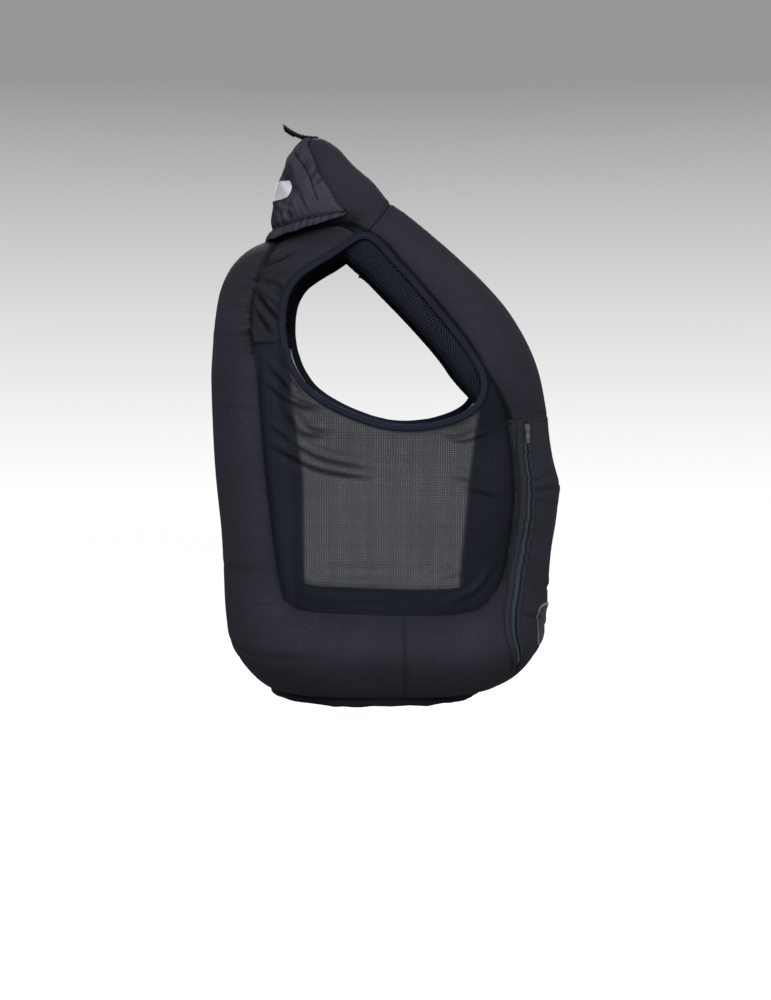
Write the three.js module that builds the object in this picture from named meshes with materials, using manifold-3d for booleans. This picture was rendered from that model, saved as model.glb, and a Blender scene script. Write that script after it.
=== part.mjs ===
// Inflated airbag vest, held up as it is worn. Millimetres, +Z up, and the wearer faces -Y.
// The origin lies on the centre plane at the base of the neck, where the vest sits on the shoulders.
// Shapes are worked out for the wearer's right (-X) from a distance to the side, one forward and one up.
import * as THREE from "three";
import { mergeVertices } from "three/addons/utils/BufferGeometryUtils.js";
import Module from "manifold-3d";

const wasm = await Module();
wasm.setup();

// Walls and gaps
const gap = 0.3;
const seamHalf = 1.5; // half the thickness of a pad where it is sewn shut
const clothWall = 1.6;
const meshWall = 1.2;
const liningWall = 2;
const seamInset = 1.6; // how far a flat panel stays inside the seam of its pads
const rimClearance = 1.6; // and outside the binding of the armhole
const chestInset = 3; // how far the chest column starts behind the binding's middle
const bindingWidth = 8.5;
const bindingHalf = 2;

// Heights and places of the main seams
const hemUp = -556;
const hemBandHeight = 8;
const cornerUp = -443;
const backCornerUp = -440;
const chestSeamUp = -228;
const yokeLowUp = -139;
const backTopUp = -9;
const backShoulderUp = -40;
const sideSeamForward = 38;
const closureHalf = 6;

// Middle surface of the body: half width to the side, reach to the front and to the back
const axisForward = 15;
const torso = [
  { up: -563, halfWidth: 158, front: 132, back: -124, frontSquare: 2.2, backSquare: 2.2 },
  { up: -510, halfWidth: 162, front: 158, back: -130, frontSquare: 2.8, backSquare: 3 },
  { up: -456, halfWidth: 160, front: 166, back: -136, frontSquare: 3.7, backSquare: 4.2 },
  { up: -390, halfWidth: 159, front: 173, back: -141, frontSquare: 4, backSquare: 5 },
  { up: -312, halfWidth: 158, front: 180, back: -147, frontSquare: 4, backSquare: 5 },
  { up: -228, halfWidth: 157, front: 171, back: -151, frontSquare: 4, backSquare: 5 },
  { up: -120, halfWidth: 152, front: 165, back: -150, frontSquare: 4, backSquare: 5 },
  { up: -60, halfWidth: 144, front: 160, back: -140, frontSquare: 4, backSquare: 5 },
  { up: -9, halfWidth: 134, front: 155, back: -116, frontSquare: 4, backSquare: 5 },
];

// How far the pads swell outward and inward, and how wide their round edges are
const frontSwell = [
  { up: -563, lift: 46 },
  { up: -484, lift: 47 },
  { up: -398, lift: 44 },
  { up: -345, lift: 46 },
  { up: -312, lift: 47 },
  { up: -280, lift: 42 },
  { up: -228, lift: 42 },
];
const backSwell = [
  { up: -563, lift: 42 },
  { up: -455, lift: 39 },
  { up: -402, lift: 35 },
  { up: -350, lift: 34 },
  { up: -262, lift: 37 },
  { up: -140, lift: 40 },
  { up: -9, lift: 40 },
];
const sideLift = 52;
const sideDepth = 22;
const frontDepth = 28;
const backDepth = 24;
const tubeHalf = 52;
const backEdgeHalf = 62;
const topEdgeHalf = 75;
const hemEdgeHalf = 74;
const edgeRoundness = 1.6;
const hemRoundness = 1.45;

// Seam of the side window against the front tube, the waist roll and the back pad
const frontSeam = [
  { up: -443, forward: 137 },
  { up: -423, forward: 154 },
  { up: -391, forward: 163 },
  { up: -345, forward: 169 },
  { up: -312, forward: 171.5 },
  { up: -228, forward: 163 },
  { up: -204, forward: 155 },
  { up: -181, forward: 142 },
];
const bottomSeam = [
  { forward: -101.6, up: -440 },
  { forward: -92, up: -448 },
  { forward: -75, up: -453 },
  { forward: -48, up: -455 },
  { forward: 34, up: -458 },
  { forward: 80, up: -458 },
  { forward: 112, up: -455.5 },
  { forward: 128, up: -450 },
  { forward: 137, up: -443 },
];
const backSeam = [
  { up: -440, forward: -101.6 },
  { up: -417, forward: -107.6 },
  { up: -323, forward: -119.8 },
  { up: -264, forward: -126 },
  { up: -194, forward: -131.4 },
  { up: -157, forward: -134.2 },
  { up: -139, forward: -139 },
  { up: -118, forward: -142 },
  { up: -72, forward: -139 },
  { up: -40, forward: -127.6 },
];

// Edge of the armhole from the shoulder down the front, round the bottom and up the back
const armhole = [
  { forward: -5, up: -11, side: 132 },
  { forward: 34, up: -47, side: 128 },
  { forward: 93, up: -115, side: 126 },
  { forward: 125, up: -161, side: 129.5 },
  { forward: 133, up: -190, side: 135 },
  { forward: 120, up: -216, side: 142 },
  { forward: 81, up: -233, side: 150 },
  { forward: 25, up: -236, side: 154 },
  { forward: -36, up: -217, side: 153 },
  { forward: -80, up: -186, side: 148 },
  { forward: -101, up: -145, side: 139 },
  { forward: -104, up: -95, side: 133 },
  { forward: -88, up: -60, side: 131 },
  { forward: -43, up: -30, side: 132 },
];
const armholeMiddle = { forward: 15, up: -135 };
const meshTopPlace = 10.08; // rows along the armhole where the mesh ends and the yoke starts
const yokeLowPlace = 10.15;

// Sections of the chest column above its seam: place on the armhole edge, neck edge and swell
const chestSections = [
  { onArmhole: 3.25, side: 20, forward: 168, up: -152, lift: 36, depth: 30, bow: 6 },
  { onArmhole: 2.6, side: 36, forward: 145, up: -108, lift: 33, depth: 31, bow: 7 },
  { onArmhole: 2, side: 46, forward: 118, up: -76, lift: 32, depth: 30, bow: 7 },
  { onArmhole: 1.5, side: 54, forward: 86, up: -46, lift: 31, depth: 27, bow: 6 },
  { onArmhole: 1, side: 59, forward: 52, up: -19, lift: 30, depth: 23, bow: 5 },
  { onArmhole: 0.5, side: 62, forward: 24, up: -1, lift: 31, depth: 20, bow: 3 },
  { onArmhole: 0, side: 62, forward: 2, up: 10, lift: 34, depth: 18, bow: 2 },
];
const lowChest = { seamUp: -203, side: 12, forward: 171, up: -190, lift: 39, depth: 29, bow: 5 };

// Sections of the collar from behind the shoulder seam to the middle of the back
const collarSections = [
  { baseSide: 122, baseForward: -29, baseUp: 3, side: 66, forward: -11, up: 48, lift: 35, depth: 19 },
  { baseSide: 102, baseForward: -60, baseUp: 2, side: 64, forward: -31, up: 88, lift: 29, depth: 24 },
  { baseSide: 72, baseForward: -88, baseUp: -2, side: 50, forward: -50, up: 107, lift: 23, depth: 27 },
  { baseSide: 38, baseForward: -104, baseUp: -4, side: 28, forward: -63, up: 114, lift: 20, depth: 29 },
  { baseSide: 0, baseForward: -110, baseUp: -4, side: 0, forward: -70, up: 116, lift: 19, depth: 30 },
];
const tubeRoundness = 2;
const collarRoundness = 2.5;

// Pouch over the back of the collar, its hem band and the closing tab
const pouchLow = 0.06;
const pouchHigh = 0.95;
const pouchGap = 2.4;
const pouchSlack = 2.5;
const pouchFootTurn = 1.12; // reach of the pouch at its foot, in collar sections from the shoulder seam
const pouchRimTurn = 3.6;
const hemBandLength = 15;
const hemBandFlare = 7;
const gatherCount = 11;
const gatherDepth = 1.4;
const tabHalfWidth = 21;
const tabWall = 2.2;
const tabSections = [
  { forward: -66, up: 116.6 },
  { forward: -76, up: 117.4 },
  { forward: -88, up: 119.8 },
  { forward: -100, up: 126 },
  { forward: -110, up: 133.5 },
];
const labelHalfWidth = 2.1; // in collar sections to each side of the middle
const labelLow = 0.36;
const labelHigh = 0.6;

// Access zip on the right front: where its line lies on the swollen tube
const zipLine = [
  { up: -528, forward: 163 },
  { up: -505, forward: 172 },
  { up: -490, forward: 172 },
  { up: -471, forward: 167 },
  { up: -453, forward: 167 },
  { up: -430, forward: 172 },
  { up: -382, forward: 181 },
  { up: -343, forward: 187 },
  { up: -309, forward: 188.5 },
  { up: -273, forward: 185 },
  { up: -234, forward: 183.5 },
];
const zipTopUp = -234;
const zipBottomUp = -526;
const tapeHalf = 4.5;
const tapeWall = 1.1;
const coilHalf = 1.7;
const coilHeight = 1.6;
const sliderLength = 10;
const sliderHalfWidth = 3.6;
const sliderHeight = 3.2;
const archHalfWidth = 1.1;
const archHalfLength = 3.7;
const archWall = 1.2;
const archRoom = 2.3;
const pullLength = 18;
const pullHalfWidth = 2.6;
const pullWall = 1;
const pullBarHalf = 0.75;
const pullWindowHalf = 1.65;
const pullWindowEnd = 5.4;
const pullEyeRadius = 1;

// Plain patch low on the right front
const patchMiddle = { side: 84, up: -466 };
const patchHalfSide = 30;
const patchHalfUp = 22;
const patchWall = 1.2;
const overlayGap = 0.8;
const zipGap = 1.6;

// Folds of the side mesh, where it hangs from the back edge of the armhole
const meshFolds = [
  { fromAcross: 0.0, fromAlong: 0.62, toAcross: 0.3, toAlong: 0.72, height: 4, width: 0.05 },
  { fromAcross: 0.0, fromAlong: 0.52, toAcross: 0.34, toAlong: 0.58, height: -4, width: 0.05 },
  { fromAcross: 0.02, fromAlong: 0.42, toAcross: 0.36, toAlong: 0.44, height: 3.5, width: 0.05 },
];

// Colours of the finished pieces
const finishes = {
  shellCloth: { color: 0x2a2c33, roughness: 0.72, metalness: 0 },
  pouchCloth: { color: 0x26282f, roughness: 0.6, metalness: 0 },
  sideMesh: { color: 0x1d1f26, roughness: 0.85, metalness: 0 },
  lining: { color: 0x232838, roughness: 0.8, metalness: 0 },
  bindingTape: { color: 0x1b2036, roughness: 0.65, metalness: 0 },
  hookTape: { color: 0x17181b, roughness: 0.95, metalness: 0 },
  zipTapeCloth: { color: 0x3a4a50, roughness: 0.7, metalness: 0 },
  zipCoil: { color: 0x2f3b42, roughness: 0.45, metalness: 0 },
  metal: { color: 0xc3c6ca, roughness: 0.3, metalness: 1 },
  paleLabel: { color: 0xd9dadc, roughness: 0.5, metalness: 0 },
  patchCloth: { color: 0x34353f, roughness: 0.7, metalness: 0 },
};

const right = (side, forward, up) => new THREE.Vector3(-side, -forward, up);
const mirrored = (point) => new THREE.Vector3(-point.x, point.y, point.z);
const blend = (from, to, share) => from + (to - from) * share;
const eased = (share) => (1 - Math.cos(Math.PI * share)) / 2;
const towardEnd = (share) => 1 - (1 - share) ** 2;

// A smooth function through one column of a table, against another of its columns
function column(rows, key, value) {
  const last = rows.length - 1;
  const slope = (i) => {
    const low = rows[Math.max(i - 1, 0)];
    const high = rows[Math.min(i + 1, last)];
    return (high[value] - low[value]) / (high[key] - low[key]);
  };
  return (x) => {
    let i = 0;
    while (i < last - 1 && x > rows[i + 1][key]) {
      i += 1;
    }
    const span = rows[i + 1][key] - rows[i][key];
    const t = Math.min(Math.max((x - rows[i][key]) / span, 0), 1);
    const bend = t * t * (3 - 2 * t);
    const ease = slope(i) * span * t * (1 - t) * (1 - t) - slope(i + 1) * span * t * t * (1 - t);
    return blend(rows[i][value], rows[i + 1][value], bend) + ease;
  };
}

const halfWidthAt = column(torso, "up", "halfWidth");
const frontAt = column(torso, "up", "front");
const backAt = column(torso, "up", "back");
const frontSquareAt = column(torso, "up", "frontSquare");
const backSquareAt = column(torso, "up", "backSquare");
const frontLiftAt = column(frontSwell, "up", "lift");
const backLiftAt = column(backSwell, "up", "lift");
const frontSeamAt = column(frontSeam, "up", "forward");
const bottomSeamAt = column(bottomSeam, "forward", "up");
const backSeamAt = column(backSeam, "up", "forward");
const zipForwardAt = column(zipLine, "up", "forward");

// Point of the middle surface: turn 0 is the front, a quarter turn the side, half a turn the back
function bodyPoint(turn, up) {
  const isFront = Math.cos(turn) > 0;
  const reach = isFront ? frontAt(up) - axisForward : axisForward - backAt(up);
  const power = isFront ? frontSquareAt(up) : backSquareAt(up);
  const sidePart = (Math.abs(Math.sin(turn)) / halfWidthAt(up)) ** power;
  const depthPart = (Math.abs(Math.cos(turn)) / reach) ** power;
  const radius = (sidePart + depthPart) ** (-1 / power);
  return right(radius * Math.sin(turn), axisForward + radius * Math.cos(turn), up);
}

function bodyNormal(turn, up) {
  const around = bodyPoint(turn + 0.01, up).sub(bodyPoint(turn - 0.01, up));
  const along = bodyPoint(turn, up + 2).sub(bodyPoint(turn, up - 2));
  return along.cross(around).normalize();
}

// The turn at which the wearer's right side of the middle surface has this forward place
function turnAt(forward, up) {
  let low = 0;
  let high = Math.PI;
  for (let i = 0; i < 40; i += 1) {
    const middle = (low + high) / 2;
    if (-bodyPoint(middle, up).y > forward) {
      low = middle;
    } else {
      high = middle;
    }
  }
  return (low + high) / 2;
}

const onBody = (forward, up) => bodyPoint(turnAt(forward, up), up);
const closureTurn = (up) => Math.atan2(closureHalf, frontAt(up) - axisForward);

function sampled(count, pointAt) {
  return Array.from({ length: count + 1 }, (_, i) => pointAt(i / count));
}

const backSeamPoint = (t) => {
  const up = blend(backCornerUp, backShoulderUp, t);
  return onBody(backSeamAt(up), up);
};
const bottomSeamPoint = (t) => {
  const forward = blend(bottomSeam[0].forward, bottomSeam.at(-1).forward, t);
  return onBody(forward, bottomSeamAt(forward));
};
const frontSeamPoint = (t) => {
  const up = blend(cornerUp, frontSeam.at(-1).up, t);
  return onBody(frontSeamAt(up), up);
};
const backTopAt = (across) => blend(backTopUp, backShoulderUp, (1 - across) ** 2.5);
const backTopPoint = (across) => {
  const seamTurn = turnAt(backSeamAt(backShoulderUp), backShoulderUp);
  return bodyPoint(blend(seamTurn, Math.PI, eased(across)), backTopAt(across));
};

const windowLine = [
  ...sampled(24, (t) => backSeamPoint(1 - t)),
  ...sampled(24, bottomSeamPoint),
  ...sampled(20, frontSeamPoint),
];
const backTopLine = sampled(12, backTopPoint);

function distanceToLine(line, point) {
  const nearest = new THREE.Vector3();
  let best = Infinity;
  for (let i = 0; i + 1 < line.length; i += 1) {
    new THREE.Line3(line[i], line[i + 1]).closestPointToPoint(point, true, nearest);
    best = Math.min(best, nearest.distanceTo(point));
  }
  return best;
}

// Rise of a pad from its sewn edge: 0 at the edge, 1 from a full width on
function roundedEdge(distance, width, roundness) {
  const left = 1 - Math.min(Math.max(distance / width, 0), 1);
  return (1 - left ** roundness) ** (1 / roundness);
}

// Outward and inward swell of the lower pads above the middle surface
function padHeights(turn, up) {
  const point = bodyPoint(turn, up);
  const frontShare = Math.max(Math.cos(turn), 0) ** 2;
  const backShare = Math.max(-Math.cos(turn), 0) ** 2;
  const sideShare = Math.sin(turn) ** 2;
  const windowWidth = blend(tubeHalf, backEdgeHalf, backShare);
  let fill = roundedEdge(distanceToLine(windowLine, point), windowWidth, edgeRoundness);
  fill *= roundedEdge(up - hemUp, hemEdgeHalf, hemRoundness);
  if (frontShare > 0) {
    fill *= roundedEdge(Math.abs(point.x) - closureHalf, tubeHalf, edgeRoundness);
  } else {
    fill *= roundedEdge(distanceToLine(backTopLine, point), topEdgeHalf, edgeRoundness);
  }
  const lift = frontShare * frontLiftAt(up) + backShare * backLiftAt(up) + sideShare * sideLift;
  const depth = frontShare * frontDepth + backShare * backDepth + sideShare * sideDepth;
  return { outer: seamHalf + lift * fill, inner: -seamHalf - depth * fill };
}

function padPoint(turn, up, layer, extra = 0) {
  const height = padHeights(turn, up)[layer] + extra;
  return bodyPoint(turn, up).addScaledVector(bodyNormal(turn, up), height);
}

function flipIfInsideOut(geometry) {
  const position = geometry.attributes.position;
  const index = geometry.index.array;
  const a = new THREE.Vector3();
  const b = new THREE.Vector3();
  const c = new THREE.Vector3();
  let volume = 0;
  for (let i = 0; i < index.length; i += 3) {
    a.fromBufferAttribute(position, index[i]);
    b.fromBufferAttribute(position, index[i + 1]);
    c.fromBufferAttribute(position, index[i + 2]);
    volume += a.dot(b.cross(c));
  }
  if (volume < 0) {
    for (let i = 0; i < index.length; i += 3) {
      [index[i + 1], index[i + 2]] = [index[i + 2], index[i + 1]];
    }
  }
  geometry.computeVertexNormals();
  return geometry;
}

function closedGeometry(points, triangles) {
  const geometry = new THREE.BufferGeometry();
  geometry.setAttribute("position", new THREE.Float32BufferAttribute(points.flatMap((p) => p.toArray()), 3));
  geometry.setIndex(triangles);
  return flipIfInsideOut(geometry);
}

// A wall between an outer and an inner surface on one grid of cells, closed along its free edges
function gridSolid(columns, rows, outerAt, innerAt, present = () => true) {
  const points = [];
  const triangles = [];
  const known = new Map();
  const corner = (c, r) => {
    const key = c * (rows + 1) + r;
    if (!known.has(key)) {
      known.set(key, points.length);
      points.push(outerAt(c, r), innerAt(c, r));
    }
    return known.get(key);
  };
  const filled = (c, r) => c >= 0 && r >= 0 && c < columns && r < rows && present(c, r);
  const wall = (a, b) => triangles.push(b, a, a + 1, b, a + 1, b + 1);
  for (let c = 0; c < columns; c += 1) {
    for (let r = 0; r < rows; r += 1) {
      if (!filled(c, r)) {
        continue;
      }
      const ring = [corner(c, r), corner(c + 1, r), corner(c + 1, r + 1), corner(c, r + 1)];
      triangles.push(ring[0], ring[1], ring[2], ring[0], ring[2], ring[3]);
      triangles.push(ring[0] + 1, ring[2] + 1, ring[1] + 1, ring[0] + 1, ring[3] + 1, ring[2] + 1);
      const beyond = [filled(c, r - 1), filled(c + 1, r), filled(c, r + 1), filled(c - 1, r)];
      beyond.forEach((neighbour, i) => {
        if (!neighbour) {
          wall(ring[i], ring[(i + 1) % 4]);
        }
      });
    }
  }
  return closedGeometry(points, triangles);
}

// A closed loop, or a capped length, swept through rings of equal count
function ringSolid(rings, isLoop) {
  const points = rings.flat();
  const size = rings[0].length;
  const triangles = [];
  const spans = isLoop ? rings.length : rings.length - 1;
  for (let i = 0; i < spans; i += 1) {
    const here = i * size;
    const next = ((i + 1) % rings.length) * size;
    for (let j = 0; j < size; j += 1) {
      const k = (j + 1) % size;
      triangles.push(here + j, next + j, next + k, here + j, next + k, here + k);
    }
  }
  if (!isLoop) {
    const end = (rings.length - 1) * size;
    for (let j = 1; j + 1 < size; j += 1) {
      triangles.push(0, j, j + 1, end, end + j + 1, end + j);
    }
  }
  return closedGeometry(points, triangles);
}

// A smooth patch between four edges that share their corners
function edgedPatch(low, high, left, rightEdge) {
  const corners = [low(0), low(1), high(0), high(1)];
  return (s, t) => {
    const point = low(s).multiplyScalar(1 - t).addScaledVector(high(s), t);
    point.addScaledVector(left(t), 1 - s).addScaledVector(rightEdge(t), s);
    point.addScaledVector(corners[0], -(1 - s) * (1 - t)).addScaledVector(corners[1], -s * (1 - t));
    return point.addScaledVector(corners[2], -(1 - s) * t).addScaledVector(corners[3], -s * t);
  };
}

function patchNormal(patch, s, t) {
  const step = 0.01;
  const across = patch(Math.min(s + step, 1), t).sub(patch(Math.max(s - step, 0), t));
  const along = patch(s, Math.min(t + step, 1)).sub(patch(s, Math.max(t - step, 0)));
  return across.cross(along).normalize();
}

function patchSolid(columns, rows, patch, wall, foldAt = () => 0) {
  const layer = (offset) => (c, r) => {
    const s = c / columns;
    const t = r / rows;
    return patch(s, t).addScaledVector(patchNormal(patch, s, t), foldAt(s, t) + offset);
  };
  return gridSolid(columns, rows, layer(wall / 2), layer(-wall / 2));
}

const vest = new THREE.Group();

function addPiece(name, geometry, finish) {
  const piece = new THREE.Mesh(geometry, new THREE.MeshStandardMaterial(finishes[finish]));
  piece.name = name;
  vest.add(piece);
}

function mirrorGeometry(geometry) {
  const copy = geometry.clone();
  copy.applyMatrix4(new THREE.Matrix4().makeScale(-1, 1, 1));
  return flipIfInsideOut(copy);
}

function addPair(name, geometry, finish) {
  addPiece(`${name}_right`, geometry, finish);
  addPiece(`${name}_left`, mirrorGeometry(geometry), finish);
}

// Lower front tube with its half of the waist roll
const seamTurnGap = 0.2 / 165;

function rollPlace(forward, share, turnShift) {
  const top = bottomSeamAt(forward);
  return { turn: turnAt(forward, top) + turnShift, up: blend(hemUp, top, share) };
}

function frontPanel() {
  const roll = 5;
  const tube = 8;
  const rollRows = 6;
  const tubeRows = 10;
  const cornerTurn = turnAt(frontSeamAt(cornerUp), cornerUp);
  const place = (c, r) => {
    const across = eased((c - roll) / tube);
    if (r >= rollRows && c >= roll) {
      const up = blend(cornerUp, chestSeamUp - gap / 2, (r - rollRows) / tubeRows);
      return { turn: blend(turnAt(frontSeamAt(up), up), closureTurn(up), across), up };
    }
    const share = eased(r / rollRows);
    if (c < roll) {
      const forward = blend(sideSeamForward, frontSeamAt(cornerUp), towardEnd(c / roll));
      return rollPlace(forward, share, c === 0 ? -seamTurnGap : 0);
    }
    const up = blend(hemUp, cornerUp, share);
    return { turn: blend(cornerTurn, closureTurn(up), across), up };
  };
  const layer = (name) => (c, r) => {
    const { turn, up } = place(c, r);
    return padPoint(turn, up, name);
  };
  const present = (c, r) => c >= roll || r < rollRows;
  return gridSolid(roll + tube, rollRows + tubeRows, layer("outer"), layer("inner"), present);
}
addPair("front_panel", frontPanel(), "shellCloth");

// Back pad with the waist roll round to both side seams
function backPanel() {
  const roll = 6;
  const pad = 6;
  const rollRows = 6;
  const padRows = 13;
  const half = roll + pad;
  const cornerTurn = turnAt(bottomSeam[0].forward, backCornerUp);
  const place = (c, r) => {
    const across = (c - roll) / pad;
    if (r >= rollRows && c >= roll) {
      const along = (r - rollRows) / padRows;
      const seamUp = blend(backCornerUp, backShoulderUp, along);
      const turn = blend(turnAt(backSeamAt(seamUp), seamUp), Math.PI, eased(across));
      return { turn, up: blend(backCornerUp, backTopAt(across), along) };
    }
    const share = eased(r / rollRows);
    if (c < roll) {
      const forward = blend(sideSeamForward, bottomSeam[0].forward, towardEnd(c / roll));
      return rollPlace(forward, share, c === 0 ? seamTurnGap : 0);
    }
    return { turn: blend(cornerTurn, Math.PI, eased(across)), up: blend(hemUp, backCornerUp, share) };
  };
  const layer = (name) => (c, r) => {
    const { turn, up } = place(c > half ? 2 * half - c : c, r);
    const point = padPoint(turn, up, name);
    return c > half ? mirrored(point) : point;
  };
  const present = (c, r) => (c >= roll && c < 2 * half - roll) || r < rollRows;
  return gridSolid(2 * half, rollRows + padRows, layer("outer"), layer("inner"), present);
}
addPiece("back_panel", backPanel(), "shellCloth");

// Armhole edge and its binding
const armholeCurve = new THREE.CatmullRomCurve3(
  armhole.map((row) => right(row.side, row.forward, row.up)), true, "catmullrom", 0.5);

function armholeFrame(place) {
  const share = (((place / armhole.length) % 1) + 1) % 1;
  const centre = armholeCurve.getPoint(share);
  const along = armholeCurve.getPoint((share + 0.002) % 1).sub(armholeCurve.getPoint((share + 0.998) % 1));
  const away = new THREE.Vector3(0, along.z, -along.y).normalize();
  const middle = right(centre.x, armholeMiddle.forward, armholeMiddle.up);
  if (away.dot(centre.clone().sub(middle)) < 0) {
    away.negate();
  }
  const face = away.clone().cross(along).normalize();
  return { centre, away, face };
}

function armholeEdge(place, clearance = gap) {
  const { centre, away } = armholeFrame(place);
  return centre.addScaledVector(away, bindingWidth / 2 + clearance);
}

function bandRing(centre, across, face, halfWidth, halfWall) {
  const corners = [[-1, 0], [-0.75, -1], [0.75, -1], [1, 0], [0.75, 1], [-0.75, 1]];
  return corners.map(([a, f]) => centre.clone()
    .addScaledVector(across, a * halfWidth).addScaledVector(face, f * halfWall));
}

function armholeBinding() {
  const count = 38;
  const rings = Array.from({ length: count }, (_, i) => {
    const { centre, away, face } = armholeFrame((i * armhole.length) / count);
    return bandRing(centre, away, face, bindingWidth / 2, bindingHalf);
  });
  return ringSolid(rings, true);
}
addPair("armhole_binding", armholeBinding(), "bindingTape");

// Hem binding: one loop round the whole vest under the pads
function hemBinding() {
  const count = 52;
  const rings = Array.from({ length: count }, (_, i) => {
    const turn = (2 * Math.PI * i) / count;
    const centre = bodyPoint(turn, hemUp - gap - hemBandHeight / 2);
    const face = bodyNormal(turn, hemUp);
    return bandRing(centre, new THREE.Vector3(0, 0, 1), face, hemBandHeight / 2, bindingHalf * 0.8);
  });
  return ringSolid(rings, true);
}
addPiece("hem_binding", hemBinding(), "bindingTape");

// Sections of the upper tube, right half: chest column, shoulder seam, collar
function upperSections() {
  const low = {
    edge: onBody(frontSeamAt(lowChest.seamUp), lowChest.seamUp),
    neck: right(lowChest.side, lowChest.forward, lowChest.up),
    ...lowChest,
    roundness: tubeRoundness,
  };
  const chest = chestSections.map((row) => ({
    ...row,
    edge: armholeEdge(row.onArmhole).add(new THREE.Vector3(chestInset, 0, 0)),
    neck: right(row.side, row.forward, row.up),
    roundness: tubeRoundness,
  }));
  const collar = collarSections.map((row, i) => ({
    ...row,
    edge: right(row.baseSide, row.baseForward, row.baseUp),
    neck: right(row.side, row.forward, row.up),
    bow: 0,
    roundness: blend(tubeRoundness, collarRoundness, (i + 1) / collarSections.length),
  }));
  return [low, ...chest, ...collar];
}
const rightSections = upperSections();
const shoulderAt = chestSections.length;
const middleAt = rightSections.length - 1;
const allSections = [
  ...rightSections,
  ...rightSections.slice(0, -1).reverse().map((row) => ({
    ...row, edge: mirrored(row.edge), neck: mirrored(row.neck),
  })),
];
allSections.forEach((row, i) => {
  const middle = (other) => other.edge.clone().add(other.neck).multiplyScalar(0.5);
  const before = middle(allSections[Math.max(i - 1, 0)]);
  const after = middle(allSections[Math.min(i + 1, allSections.length - 1)]);
  row.normal = row.neck.clone().sub(row.edge).cross(after.sub(before)).normalize();
});

// Point of one section: across runs from its armhole or base edge to its neck edge
function sectionPoint(row, across, layer, extra) {
  const fill = (1 - Math.abs(2 * across - 1) ** row.roundness) ** (1 / row.roundness);
  const swell = layer === "outer" ? seamHalf + row.lift * fill : -seamHalf - row.depth * fill;
  const height = swell + row.bow * 4 * across * (1 - across) + extra;
  return row.edge.clone().lerp(row.neck, across).addScaledVector(row.normal, height);
}

// Rows of the lower tube lead into the chest column, so that the seam between them stays smooth
function leadPoint(up, across, layer, extra) {
  const turn = blend(turnAt(frontSeamAt(up), up), closureTurn(up), across);
  return padPoint(turn, up, layer, extra);
}

// Smooth surface along the upper tube: place 0 is the lowest chest section, one step for each section
function upperPoint(place, across, layer, extra = 0) {
  const controls = [
    leadPoint(chestSeamUp - 25, across, layer, extra),
    leadPoint(chestSeamUp, across, layer, extra),
    ...allSections.map((row) => sectionPoint(row, across, layer, extra)),
  ];
  const curve = new THREE.CatmullRomCurve3(controls, false, "catmullrom", 0.5);
  return curve.getPoint((place + 2) / (controls.length - 1));
}

function upperNormal(place, across, layer) {
  const along = upperPoint(place + 0.03, across, layer).sub(upperPoint(place - 0.03, across, layer));
  const over = upperPoint(place, across + 0.01, layer).sub(upperPoint(place, across - 0.01, layer));
  return over.cross(along).normalize();
}

const placeGap = gap / 2 / 27;

function upperPiece(from, to, columns, rows) {
  const layer = (name) => (c, r) => upperPoint(blend(from, to, r / rows), eased(c / columns), name);
  return gridSolid(columns, rows, layer("outer"), layer("inner"));
}
const chestColumns = 8;
const chestRows = 15;
const chest = upperPiece(-1 + placeGap, shoulderAt - placeGap, chestColumns, chestRows);
addPair("chest", chest, "shellCloth");
const leftShoulderAt = 2 * middleAt - shoulderAt;
addPiece("collar_roll", upperPiece(shoulderAt + placeGap, leftShoulderAt - placeGap, 8, 18), "shellCloth");

// Honeycomb lining on the inside of the chest column
function chestLining() {
  const layer = (depth) => (c, r) => {
    const place = blend(-1 + placeGap, shoulderAt - placeGap, (r + 0.5) / chestRows);
    const across = Math.min(Math.max(eased(c / chestColumns), 0.02), 0.98);
    return upperPoint(place, across, "inner", -depth);
  };
  return gridSolid(chestColumns, chestRows - 1, layer(gap * 4), layer(gap * 4 + liningWall));
}
addPair("chest_lining", chestLining(), "lining");

// Side mesh between the pads and the armhole
function sideMesh() {
  const columns = 13;
  const rows = 12;
  const low = (s) => {
    const forward = blend(bottomSeam[0].forward, bottomSeam.at(-1).forward, s);
    const shift = blend(seamInset, -seamInset, s);
    return onBody(forward + shift, bottomSeamAt(forward) + seamInset);
  };
  const left = (t) => {
    const up = blend(backCornerUp + seamInset, yokeLowUp - rimClearance, t);
    return onBody(backSeamAt(up - seamInset) + seamInset, up);
  };
  const rightEdge = (t) => {
    const up = blend(cornerUp + seamInset, frontSeam.at(-1).up, t);
    return onBody(frontSeamAt(up - seamInset) - seamInset, up);
  };
  const underYoke = 2 / columns;
  const high = (s) => {
    if (s < underYoke) {
      return left(1).lerp(armholeEdge(meshTopPlace, rimClearance), s / underYoke);
    }
    const rim = armholeEdge(blend(meshTopPlace, 3.95, (s - underYoke) / (1 - underYoke)), rimClearance);
    return rim.lerp(rightEdge(1), Math.max(s * 12 - 11, 0) ** 2);
  };
  const flat = edgedPatch(low, high, left, rightEdge);
  const patch = (s, t) => {
    const point = flat(s, t);
    return point.lerp(onBody(-point.y, point.z), 1 - t ** 4);
  };
  const foldAt = (s, t) => meshFolds.reduce((sum, fold) => {
    const share = (s - fold.fromAcross) / (fold.toAcross - fold.fromAcross);
    const ends = Math.max(Math.sin(Math.PI * Math.min(Math.max(share, 0), 1)), 0);
    const away = (t - blend(fold.fromAlong, fold.toAlong, share)) / fold.width;
    return sum + fold.height * ends * Math.exp(-away * away);
  }, 0);
  return patchSolid(columns, rows, patch, meshWall, foldAt);
}
addPair("side_mesh", sideMesh(), "sideMesh");

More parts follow.
